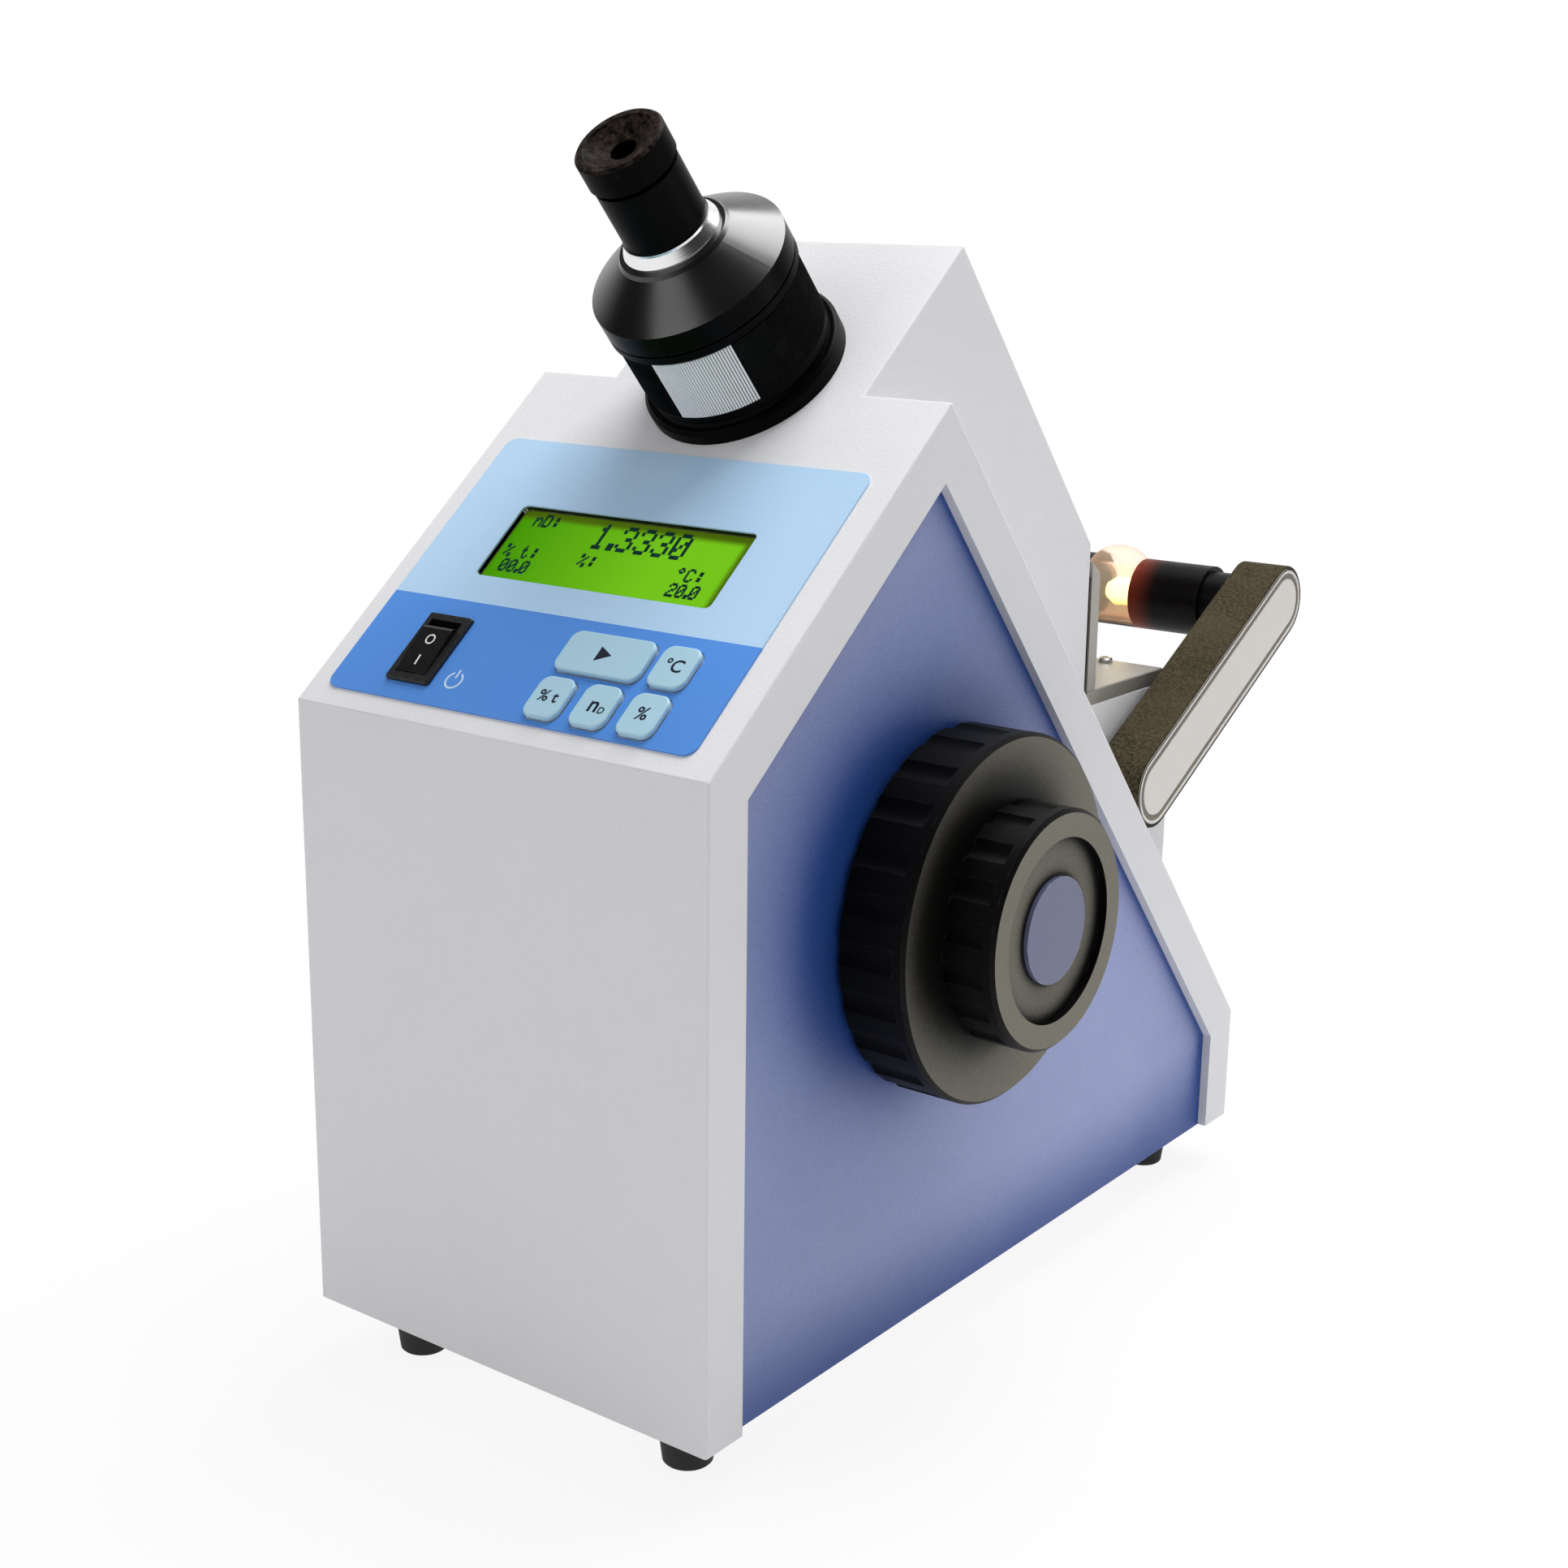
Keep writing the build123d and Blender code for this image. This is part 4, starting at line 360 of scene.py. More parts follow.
def grow_copies(tree, inside, outside, points, pattern, turned=None):
    """Copies of a pattern on points, realized and given the tree's material."""
    copies = add_node(tree, "GeometryNodeInstanceOnPoints")
    feed_named(tree, copies, Points=points, Instance=pattern)
    if turned:
        tree.links.new(turned, copies.inputs["Rotation"])
    real = add_node(tree, "GeometryNodeRealizeInstances")
    tree.links.new(copies.outputs[0], real.inputs[0])
    finish = add_node(tree, "GeometryNodeSetMaterial")
    feed_named(tree, finish, Geometry=real.outputs[0], Material=inside["Material"])
    tree.links.new(finish.outputs[0], outside["Geometry"])


def rib_tree():
    """Round ribs side by side along an arc about Z, realized and given a material."""
    tree, inside, outside = new_grower(
        "rib_band",
        [("Count", "NodeSocketInt")]
        + [
            (label, "NodeSocketFloat")
            for label in ("Start", "Step", "Radius", "Rib Radius", "Rib Length", "Level")
        ],
    )
    row = add_node(tree, "GeometryNodeMeshLine")
    tree.links.new(inside["Count"], row.inputs["Count"])
    index = add_node(tree, "GeometryNodeInputIndex").outputs[0]
    angle = calculate(tree, "MULTIPLY_ADD", index, inside["Step"], inside["Start"])
    place = add_node(tree, "ShaderNodeCombineXYZ")
    for axis, operation in (("X", "COSINE"), ("Y", "SINE")):
        reach = calculate(tree, "MULTIPLY", calculate(tree, operation, angle), inside["Radius"])
        tree.links.new(reach, place.inputs[axis])
    tree.links.new(inside["Level"], place.inputs["Z"])
    spread = add_node(tree, "GeometryNodeSetPosition")
    feed_named(tree, spread, Geometry=row.outputs[0], Position=place.outputs[0])
    rib = add_node(tree, "GeometryNodeMeshCylinder")
    feed_named(tree, rib, Vertices=6, Radius=inside["Rib Radius"], Depth=inside["Rib Length"])
    facing = add_node(tree, "ShaderNodeCombineXYZ")
    tree.links.new(angle, facing.inputs["Z"])
    turned = add_node(tree, "FunctionNodeEulerToRotation")
    tree.links.new(facing.outputs[0], turned.inputs[0])
    grow_copies(tree, inside, outside, spread.outputs[0], rib.outputs["Mesh"], turned.outputs[0])
    return tree


def repeat_tree():
    """A pattern piece on every vertex of the geometry, realized and given a material."""
    tree, inside, outside = new_grower("repeat_on_points", [("Pattern", "NodeSocketObject")])
    pattern = add_node(tree, "GeometryNodeObjectInfo")
    tree.links.new(inside["Pattern"], pattern.inputs["Object"])
    grow_copies(tree, inside, outside, inside["Geometry"], pattern.outputs["Geometry"])
    return tree


GROUP_MAKERS = {
    "grain": grain_group,
    "edge_wear": edge_group,
    "dust": dust_group,
    "turning_marks": turning_group,
    "rib_band": rib_tree,
    "repeat_on_points": repeat_tree,
}


def built_once(name):
    """A node group by its name, built the first time that it is asked for."""
    return bpy.data.node_groups.get(name) or GROUP_MAKERS[name]()


def place_group(tree, name, **values):
    """Put a shader group into a material and give its outputs."""
    node = add_node(tree, "ShaderNodeGroup", node_tree=built_once(name))
    feed_named(tree, node, **values)
    return node.outputs


# ------------------------------------------------------------------ materials
DUST = (0.55, 0.53, 0.5)
# The way to the low light whose shade is painted into colours: a share of the side that a face looks to,
# and so much rearwards and up.
LOW_LIGHT = (0.5, 0.78, -0.38)


def new_material(name):
    """A new material with its tree and its shader."""
    material = bpy.data.materials.new(name)
    material.use_nodes = True
    tree = material.node_tree
    return material, tree, tree.nodes["Principled BSDF"]


def painted_shade_mask(tree, reach, start, end):
    """1 where something stands in the way of the low light from the side and the rear; it paints shade into
    colours.
    """
    side, rear, up = LOW_LIGHT
    toward = add_node(tree, "ShaderNodeCombineXYZ")
    outward = scaled(tree, part_of(tree, surface_normal(tree), "X"), side)
    feed_named(tree, toward, X=outward, Y=rear, Z=up)
    shelter = add_node(tree, "ShaderNodeAmbientOcclusion", samples=12)
    feed_named(tree, shelter, Distance=reach, Normal=toward.outputs[0])
    return ramp(tree, shelter.outputs["AO"], start, end)


def add_bump(tree, height, distance, normal=None):
    bump = add_node(tree, "ShaderNodeBump")
    feed_named(tree, bump, Height=height, Distance=distance)
    if normal:
        tree.links.new(normal, bump.inputs["Normal"])
    return bump.outputs["Normal"]


def finish_material(
    name, colour, roughness, grain=0.001, depth=0.00003, contrast=0.06, mottle=0.03, edge=None,
    wear=0.3, dust=0.1, metallic=0.0, specular=0.5, colour_socket=None, turned=None,
):
    """A surface with grain, mottling, worn edges and dust; a turned one has lathe rings too."""
    material, tree, shader = new_material(name)
    texture = place_group(tree, "grain", Size=grain)
    if colour_socket:
        shade = add_node(tree, "ShaderNodeHueSaturation")
        value = scaled(tree, texture["Shade"], contrast, 1 - contrast / 2)
        feed_named(tree, shade, Color=colour_socket(tree), Value=value)
        base = shade.outputs["Color"]
    else:
        dark = tuple(c * (1 - contrast) for c in colour)
        patch = tuple(min(1.0, c * (1 + mottle)) for c in colour)
        base = mix_colour(tree, texture["Shade"], dark, colour)
        base = mix_colour(tree, scaled(tree, texture["Mottle"], 0.5), base, patch)
    if edge:
        worn = place_group(tree, "edge_wear")["Mask"]
        base = mix_colour(tree, scaled(tree, worn, wear), base, edge)
    if dust:
        base = mix_colour(tree, place_group(tree, "dust", Amount=dust)["Mask"], base, DUST)
    normal = add_bump(tree, texture["Height"], depth)
    if turned:
        origin, axis, pitch, ring_depth = turned
        rings = place_group(tree, "turning_marks", Origin=origin, Axis=axis, Pitch=pitch)
        normal = add_bump(tree, rings["Height"], ring_depth, normal)
    feed_named(
        tree, shader, Base_Color=base, Roughness=scaled(tree, texture["Mottle"], 0.08, roughness - 0.04),
        Metallic=metallic, Specular_IOR_Level=specular, Normal=normal,
    )
    return material


def glass_material(name, colour, roughness=0.02, ior=1.5, colour_socket=None):
    """Clear glass with a little unevenness in its tint and its gloss."""
    material, tree, shader = new_material(name)
    texture = place_group(tree, "grain", Size=0.004, Mottle_Size=0.02)
    if colour_socket:
        base = colour_socket(tree)
    else:
        base = mix_colour(tree, texture["Mottle"], colour, tuple(min(1.0, c * 1.02) for c in colour))
    rough = scaled(tree, texture["Mottle"], roughness * 0.3, roughness)
    feed_named(tree, shader, Base_Color=base, Roughness=rough, Transmission_Weight=1.0, IOR=ior)
    return material


def dress(material, *nodes):
    """Put a finish on CAD nodes."""
    for node in nodes:
        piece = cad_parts[node]
        if not piece.material_slots:
            piece.data.materials.append(material)
        for place in piece.material_slots:
            place.material = material


# ------------------------------------------------------------------ making pieces
def linked(name, data):
    """A new object in the scene."""
    piece = bpy.data.objects.new(name, data)
    bpy.context.scene.collection.objects.link(piece)
    return piece


def add_piece(name, mesh, material, body):
    """A finished mesh, already in place, that moves with a CAD body."""
    piece = linked(name, mesh)
    if material:
        mesh.materials.clear()
        mesh.materials.append(material)
    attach(piece, body)
    return piece


def evaluated_mesh(draft, name):
    """The final mesh of a draft object, which is taken away."""
    bpy.context.view_layer.update()
    mesh = bpy.data.meshes.new_from_object(draft.evaluated_get(bpy.context.evaluated_depsgraph_get()))
    mesh.name = name
    bpy.data.objects.remove(draft)
    return mesh


def grown_mesh(name, group, values, start=None):
    """What a geometry node tree makes of a starting mesh, as a plain mesh."""
    draft = linked(name + "_draft", start or bpy.data.meshes.new(name + "_start"))
    modifier = draft.modifiers.new("grow", "NODES")
    modifier.node_group = built_once(group)
    for socket in modifier.node_group.interface.items_tree:
        if socket.in_out == "INPUT" and socket.name in values:
            modifier[socket.identifier] = values[socket.name]
    return evaluated_mesh(draft, name)


def rib_band(name, material, count, start, step, radius, rib, low, high):
    """Ribs from low to high that stand side by side along an arc."""
    values = {
        "Count": count, "Start": start, "Step": step, "Radius": radius, "Rib Radius": rib,
        "Rib Length": high - low, "Level": (low + high) / 2, "Material": material,
    }
    return grown_mesh(name, "rib_band", values)


def scatter(name, pattern_mesh, places, material):
    """Copies of a pattern at the given points, as one mesh in the pattern's own axes."""
    pattern = linked(name + "_pattern", pattern_mesh)
    points = bpy.data.meshes.new(name + "_points")
    points.from_pydata(places, [], [])
    mesh = grown_mesh(name, "repeat_on_points", {"Pattern": pattern, "Material": material}, points)
    bpy.data.objects.remove(pattern)
    return mesh


def lettering(name, words, size, weight):
    """Raised characters as a mesh, in millimetres about their middle."""
    raised = 0.06
    curve = bpy.data.curves.new(name, "FONT")
    curve.body = words
    curve.size = size
    curve.align_x = "CENTER"
    curve.align_y = "CENTER"
    curve.extrude = raised / 2
    curve.offset = weight
    curve.resolution_u = 6
    return evaluated_mesh(linked(name + "_draft", curve), name)


def drawn_mesh(shape, name, outward=True):
    """What has been drawn, as a mesh, with its faces turned outwards."""
    if outward:
        bmesh.ops.recalc_face_normals(shape, faces=shape.faces[:])
    mesh = bpy.data.meshes.new(name)
    shape.to_mesh(mesh)
    shape.free()
    return mesh


def raise_faces(shape, thickness):
    raised = bmesh.ops.extrude_face_region(shape, geom=shape.faces[:])
    tops = [v for v in raised["geom"] if isinstance(v, bmesh.types.BMVert)]
    bmesh.ops.translate(shape, verts=tops, vec=(0, 0, thickness))


def wall_between(shape, lower, upper):
    """Faces between two closed loops with as many points."""
    for i in range(len(lower)):
        j = (i + 1) % len(lower)
        shape.faces.new((lower[i], lower[j], upper[j], upper[i]))


def flat_outline(name, outlines, thickness=0.05):
    """Closed outlines, in millimetres, filled and raised to a thickness."""
    shape = bmesh.new()
    for outline in outlines:
        face = shape.faces.new([shape.verts.new((x, y, 0)) for x, y in outline])
        face.normal_update()
        if face.normal.z < 0:
            face.normal_flip()
    raise_faces(shape, thickness)
    return drawn_mesh(shape, name)


def arc_points(x, y, radius, start, end, steps):
    """Points along an arc, angles in degrees."""
    angles = [radians(start + (end - start) * i / steps) for i in range(steps + 1)]
    return [(x + radius * cos(a), y + radius * sin(a)) for a in angles]


def arc_band(radius, width, start, end, steps=48):
    """The outline of a band that follows an arc, angles in degrees."""
    outer = arc_points(0, 0, radius + width / 2, start, end, steps)
    return outer + arc_points(0, 0, radius - width / 2, end, start, steps)


def rectangle(x, y, width, height):
    return [
        (x + side * width / 2, y + end * height / 2)
        for side, end in ((-1, -1), (1, -1), (1, 1), (-1, 1))
    ]


def rounded(width, height, radius, steps=6):
    """A rectangle with round corners about the origin."""
    points = []
    for turn, (side, end) in enumerate(((1, 1), (-1, 1), (-1, -1), (1, -1))):
        x, y = side * (width / 2 - radius), end * (height / 2 - radius)
        points += arc_points(x, y, radius, 90 * turn, 90 * (turn + 1), steps)
    return points


def joined(name, meshes):
    """Several meshes as one."""
    shape = bmesh.new()
    for mesh in meshes:
        shape.from_mesh(mesh)
    return drawn_mesh(shape, name, outward=False)


def screw_pattern(name, radius, height):
    """A pan-head screw with a cross recess, in millimetres, seated at its origin along +Z."""
    steps = 24
    plain = [(1, 0)] * steps
    # Reach and shift of the six points in each quarter of the recess.
    cross = [(0.5, 0), (0.48, -0.6), (0.17, 0), (0.17, 0), (0.17, 0), (0.48, 0.6)] * 4
    shape = bmesh.new()
    rings = []
    for size, level, outline in (
        (1, 0, plain), (1, 0.45, plain), (0.8, 0.9, plain), (0.66, 1, plain),
        (1, 1, cross), (1, 0.35, cross),
    ):
        ring = []
        for i, (reach, shift) in enumerate(outline):
            angle = 2 * pi * (i + shift) / steps
            across = radius * size * reach
            ring.append(shape.verts.new((across * cos(angle), across * sin(angle), height * level)))
        rings.append(ring)
    for lower, upper in zip(rings, rings[1:]):
        wall_between(shape, lower, upper)
    shape.faces.new(rings[-1])
    shape.faces.new(list(reversed(rings[0])))
    return drawn_mesh(shape, name)


# ------------------------------------------------------------------ display characters
# Where the reading and the other words start, across and down from the display's corner.
READING_CORNER = (32.6, 1.9)
DISPLAY_WORDS = (
    ("nD:", 6.1, 1.2),
    ("% t:", 2.6, 14.3),
    ("00.0", 4.7, 20.2),
    ("%:", 33.0, 14.4),
    ("'C:", 71.0, 14.6),
    ("20.0", 71.4, 20.6),
)
# A dot's width as a share of its height, and its size as a share of its pitch.
DOT_SHAPE = 0.8
DOT_SIZES = {1: 1.35, 2: 1.12}
# Seven rows of five dots each; the ' stands for the degree sign.
GLYPHS = {
    "0": "01110 10001 10011 10101 11001 10001 01110",
    "1": "00100 01100 00100 00100 00100 00100 01110",
    "2": "01110 10001 00001 00110 01000 10000 11111",
    "3": "01110 10001 00001 00110 00001 10001 01110",
    "4": "00010 00110 01010 10010 11111 00010 00010",
    "5": "11111 10000 11110 00001 00001 10001 01110",
    "6": "00110 01000 10000 11110 10001 10001 01110",
    "7": "11111 00001 00010 00100 01000 01000 01000",
    "8": "01110 10001 10001 01110 10001 10001 01110",
    "9": "01110 10001 10001 01111 00001 00010 01100",
    ".": "00000 00000 00000 00000 00000 11000 11000",
    ":": "00000 00110 00110 00000 00110 00110 00000",
    "n": "00000 00000 10110 11001 10001 10001 10001",
    "D": "11110 10001 10001 10001 10001 10001 11110",
    "%": "11000 11001 00010 00100 01000 10011 00011",
    "'": "01100 10010 01100 00000 00000 00000 00000",
    "C": "01110 10001 10000 10000 10000 10001 01110",
    "t": "01000 01000 11100 01000 01000 01001 00110",
    " ": "00000 00000 00000 00000 00000 00000 00000",
}


def dot_squares(words, across, down, dot, tall=1):
    """Dots for a line of characters whose top left corner is at a place on the display."""
    squares = []
    left = across
    wide = dot * DOT_SHAPE
    size = DOT_SIZES[tall]
    for letter in words:
        # A tall character has each dot of the pattern twice, both ways.
        for row, bits in enumerate(bits for bits in GLYPHS[letter].split() for _ in range(tall)):
            for column, bit in enumerate(bit for bit in bits for _ in range(tall)):
                if bit == "1":
                    x = left + (column + 0.5) * wide
                    y = -down - (row + 0.5) * dot
                    squares.append(rectangle(x, y, wide * size, dot * size))
        left += (2.5 if letter == "." else 6) * tall * wide
    return squares


# ------------------------------------------------------------------ operators
class DressHousing(bpy.types.Operator):
    """Paint the housing and its side panels, and finish the base, feet and sockets"""

    bl_idname = "refractometer.housing"
    bl_label = "Housing"

    def execute(self, context):
        paint = context.scene.refractometer_paint
        white = finish_material(
            "body_paint", tuple(paint.body), 0.5, grain=paint.grain, depth=0.00012, contrast=0.035,
            mottle=0.02, edge=(0.9, 0.9, 0.91), wear=0.5, dust=0.0,
        )
        dress(white, "housing")

        def blue_with_painted_shade(tree):
            """Painted light and shade: the blue is lighter round a place on the right side and darker
            farther from it, and a painted shadow of deeper blue lies where the side is sheltered from what
            shines on it from behind.
            """
            away = on_vectors(tree, "DISTANCE", object_place(tree), (0.077, 0.09, 0.11))
            painted_lit_blue = tuple(c * k for c, k in zip(paint.side, (1.15, 1.18, 1.2)))
            painted_dim_blue = tuple(c * k for c, k in zip(paint.side, (0.86, 0.91, 0.95)))
            base = mix_colour(tree, ramp(tree, away, 0.03, 0.27), painted_lit_blue, painted_dim_blue)
            return mix_colour(tree, painted_shade_mask(tree, 0.055, 0.72, 0.42), base, (0.012, 0.06, 0.28))

        blue = finish_material(
            "side_paint", tuple(paint.side), 0.5, grain=0.0007, depth=0.00008, contrast=0.16,
            edge=(0.35, 0.38, 0.7), dust=0.0, colour_socket=blue_with_painted_shade,
        )
        dress(blue, "left_panel", "right_panel")
        zinc = finish_material(
            "zinc_plate", (0.55, 0.56, 0.55), 0.38, grain=0.002, depth=0.00001, contrast=0.12,
            mottle=0.15, edge=(0.8, 0.8, 0.8), metallic=1.0,
        )
        dress(zinc, "base_plate", "foot_screws", "serial_socket")
        rubber = finish_material(
            "foot_rubber", (0.012, 0.012, 0.012), 0.75, grain=0.0008, depth=0.00006, contrast=0.3,
            edge=(0.05, 0.05, 0.05), dust=0.25,
        )
        dress(rubber, "feet", "plate_gasket")
        nylon = finish_material(
            "socket_nylon", (0.014, 0.014, 0.015), 0.45, grain=0.0007, contrast=0.2,
            edge=(0.06, 0.06, 0.06), dust=0.15,
        )
        dress(nylon, "power_inlet", "encoder_head")
        self.rear_screws(zinc)
        self.serial_pins()
        return {"FINISHED"}

    def rear_screws(self, material):
        """Two screws beside each socket in the rear wall."""
        places = []
        for socket, apart in (("power_inlet", 32.0), ("serial_socket", 24.8)):
            middle = middle_of(socket).x / MM
            places += [(middle - apart / 2, 0, 0), (middle + apart / 2, 0, 0)]
        screws = scatter("rear_screws", screw_pattern("rear_screw", 2.6, 1.5), places, material)
        screws.transform(rear_matrix(0, middle_of("power_inlet").z))
        add_piece("rear_screws", screws, material, "stand")

    def serial_pins(self):
        """Nine gilt pins, in a row of five over a row of four."""
        pitch = 2.77
        pins = [
            ((i - (count - 1) / 2) * pitch, level, 0)
            for count, level in ((5, 1.4), (4, -1.4))
            for i in range(count)
        ]
        pin = bmesh.new()
        bmesh.ops.create_cone(pin, cap_ends=True, segments=10, radius1=0.55, radius2=0.45, depth=4.6)
        brass = finish_material(
            "pin_gilt", (0.75, 0.58, 0.25), 0.3, depth=0.000005, contrast=0.1,
            edge=(0.9, 0.8, 0.5), metallic=1.0, dust=0.0,
        )
        gilt = scatter("serial_pins", drawn_mesh(pin, "serial_pin", outward=False), pins, brass)
        foot = rear_matrix(middle_of("serial_socket").x, middle_of("power_inlet").z)
        foot.translation.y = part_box("serial_socket")[1].y
        gilt.transform(foot)
        add_piece("serial_pins", gilt, brass, "stand")


class DressPanel(bpy.types.Operator):
    """Print the two-blue overlay, colour the keys and give each key its mark"""

    bl_idname = "refractometer.panel"
    bl_label = "Operating panel"

    def execute(self, context):
        panel = context.scene.refractometer_panel

        def two_blues(tree):
            """The lower blue deepens a little up the slope, as far as the upper one."""
            foot = on_vectors(tree, "SUBTRACT", object_place(tree), SLOPE_FOOT)
            climb = on_vectors(tree, "DOT_PRODUCT", foot, SLOPE_UP)
            above = calculate(tree, "GREATER_THAN", climb, panel.split * MM)
            deeper = scaled(tree, climb, -9.0, 1.0)
            low = mix_colour(tree, deeper, tuple(panel.lower), tuple(c * 0.82 for c in panel.lower))
            return mix_colour(tree, above, low, tuple(panel.upper))

        overlay = finish_material(
            "overlay_print", tuple(panel.upper), 0.36, grain=0.0006, depth=0.000012, contrast=0.03,
            colour_socket=two_blues, edge=(0.05, 0.12, 0.3), wear=0.25, dust=0.0,
        )
        dress(overlay, "panel_overlay")
        silicone = finish_material(
            "key_silicone", (0.42, 0.66, 0.79), 0.4, grain=0.0006, depth=0.00001, contrast=0.03,
            edge=(0.75, 0.9, 0.97), wear=0.7, dust=0.0,
        )
        dress(silicone, *KEYS)
        ink = finish_material(
            "key_ink", (0.008, 0.012, 0.035), 0.45, grain=0.0004, depth=0.000003, contrast=0.2, dust=0.0,
        )
        small_d = lettering("index_d", "D", 3.2, weight=0.07)
        small_d.transform(Matrix.Translation((3.3, -1.5, 0)))
        marks = {
            "key_start": flat_outline("start_mark", [[(-2.4, -2.7), (2.7, 0), (-2.4, 2.7)]]),
            "key_temperature": lettering("degree_mark", "°C", 6.2, weight=0.1),
            "key_left": lettering("percent_t_mark", "% t", 5.6, weight=0.1),
            "key_middle": joined("index_mark", [lettering("index_n", "n", 7.6, weight=0.14), small_d]),
            "key_right": lettering("percent_mark", "%", 6.2, weight=0.1),
        }
        for key, mesh in marks.items():
            mesh.transform(slope_matrix(*KEYS[key], KEY_TOP))
            add_piece(key + "_mark", mesh, ink, key)
        pale = finish_material(
            "panel_ink", (0.62, 0.78, 0.93), 0.45, grain=0.0004, depth=0.000003, contrast=0.1, dust=0.0,
        )
        stroke = 0.62
        power = flat_outline(
            "power_mark", [arc_band(2.9, stroke, 118, 422), rectangle(0, 2.4, stroke, 3.2)]
        )
        power.transform(slope_matrix(*POWER_SIGN, OVERLAY_TOP))
        add_piece("power_mark", power, pale, "stand")
        return {"FINISHED"}


class DressDisplay(bpy.types.Operator):
    """Light the display and write its reading in dots"""

    bl_idname = "refractometer.display"
    bl_label = "Display"

    def execute(self, context):
        panel = context.scene.refractometer_panel
        width, height = DISPLAY_SIZE
        backlight = self.backlight(panel.glow)
        dress(backlight, "display_module")
        sheet = flat_outline("display_sheet", [rounded(width - 0.1, height - 0.1, 1.9)])
        sheet.transform(slope_matrix(*DISPLAY, SHEET_LEVEL))
        add_piece("display_sheet", sheet, backlight, "stand")

        def dark_sides(tree):
            """The pane is clear through its faces and dark at its sides."""
            facing = on_vectors(tree, "DOT_PRODUCT", surface_normal(tree, "True Normal"), SLOPE_OUT)
            face = calculate(tree, "GREATER_THAN", calculate(tree, "ABSOLUTE", facing), 0.5)
            return mix_colour(tree, face, (0.02, 0.035, 0.005), (0.98, 1.0, 0.98))

        pane = glass_material(
            "display_pane", (0.98, 1.0, 0.98), roughness=0.0, ior=1.03, colour_socket=dark_sides
        )
        dress(pane, "display_window")
        liquid = finish_material(
            "display_dots", (0.003, 0.03, 0.022), 0.5, grain=0.0004, depth=0.000002, contrast=0.2,
            dust=0.0, specular=0.03,
        )
        squares = dot_squares(panel.reading, *READING_CORNER, panel.dot, tall=2)
        for words, across, down in DISPLAY_WORDS:
            squares += dot_squares(words, across, down, panel.dot)
        dots = flat_outline("display_reading", squares, 0.04)
        corner = (DISPLAY[0] - width / 2, DISPLAY[1] + height / 2)
        dots.transform(slope_matrix(*corner, DOT_LEVEL))
        add_piece("display_reading", dots, liquid, "stand")
        foam = finish_material(
            "gasket_foam", (0.02, 0.03, 0.008), 0.5, grain=0.0005, depth=0.00002, contrast=0.2, dust=0.0,
        )
        add_piece("display_gasket", self.gasket(), foam, "stand")
        return {"FINISHED"}

    def backlight(self, glow):
        """Green light, dimmer to the left and dark along the edges, where the opening's shade is painted.
        """
        material, tree, shader = new_material("display_backlight")
        middle = slope_matrix(*LIT_MIDDLE).translation
        place = on_vectors(tree, "SUBTRACT", object_place(tree), middle)
        climb = on_vectors(tree, "DOT_PRODUCT", place, SLOPE_UP)
        across = on_vectors(tree, "DOT_PRODUCT", place, SIDEWAYS)
        inside = []
        for size, along in zip(DISPLAY_SIZE, (across, climb)):
            edge = (size / 2 - 0.4) * MM
            full = (size / 2 - 3.4) * MM
            inside.append(ramp(tree, calculate(tree, "ABSOLUTE", along), edge, full, smooth=True))
        lit = calculate(tree, "MULTIPLY", *inside)
        green = mix_colour(tree, ramp(tree, across, -0.045, 0.02), (0.05, 0.26, 0.0), (0.175, 0.53, 0.01))
        feed_named(
            tree, shader, Base_Color=(0.01, 0.04, 0.002, 1), Roughness=0.5, Specular_IOR_Level=0.0,
            Emission_Color=mix_colour(tree, lit, (0.06, 0.095, 0.002), green), Emission_Strength=glow,
        )
        return material

    def gasket(self):
        """A thin dark frame round the inside of the display's opening."""
        width, height = DISPLAY_SIZE
        outer = rounded(width - 0.04, height - 0.04, 1.98)
        inner = rounded(width - 0.6, height - 0.6, 1.8)
        top, bottom = GASKET_LEVELS
        shape = bmesh.new()
        loops = [
            [shape.verts.new((x, y, level)) for x, y in outline]
            for outline, level in ((outer, top), (inner, top), (inner, bottom), (outer, bottom))
        ]
        for lower, upper in zip(loops, loops[1:] + loops[:1]):
            wall_between(shape, lower, upper)
        mesh = drawn_mesh(shape, "display_gasket")
        mesh.transform(slope_matrix(*DISPLAY))
        return mesh


class DressSwitch(bpy.types.Operator):
    """Finish the power rocker and mark its two ends"""

    bl_idname = "refractometer.power_switch"
    bl_label = "Power switch"

    def execute(self, context):
        gloss = finish_material(
            "switch_nylon", (0.008, 0.008, 0.009), 0.3, grain=0.0006, depth=0.00001, contrast=0.2,
            edge=(0.05, 0.05, 0.05), wear=0.8, dust=0.02,
        )
        dress(gloss, "power_rocker")
        bezel = finish_material(
            "bezel_nylon", (0.012, 0.012, 0.013), 0.42, grain=0.0006, contrast=0.25,
            edge=(0.07, 0.06, 0.055), wear=0.8, dust=0.05,
        )
        dress(bezel, "switch_bezel")
        ink = finish_material(
            "rocker_ink", (0.85, 0.85, 0.86), 0.4, grain=0.0004, depth=0.000003, contrast=0.05, dust=0.0,
        )
        ring = flat_outline("rocker_ring", [arc_band(1.55, 0.5, 0, 180), arc_band(1.55, 0.5, 180, 360)])
        ring.transform(Matrix.Translation((0, 12.2, 0)))
        bar = flat_outline("rocker_bar", [rectangle(0, 4.6, 0.62, 3.6)])
        both = joined("rocker_marks", [ring, bar])
        # The rocker's long face runs from its low end up to the ridge.
        run, rise = 16.1, 1.3
        foot = slope_matrix(SWITCH[0], SWITCH[1] - 10.1, 2.1)
        both.transform(foot @ Matrix.Rotation(atan2(rise, run), 4, "X"))
        add_piece("rocker_marks", both, ink, "power_rocker")
        return {"FINISHED"}


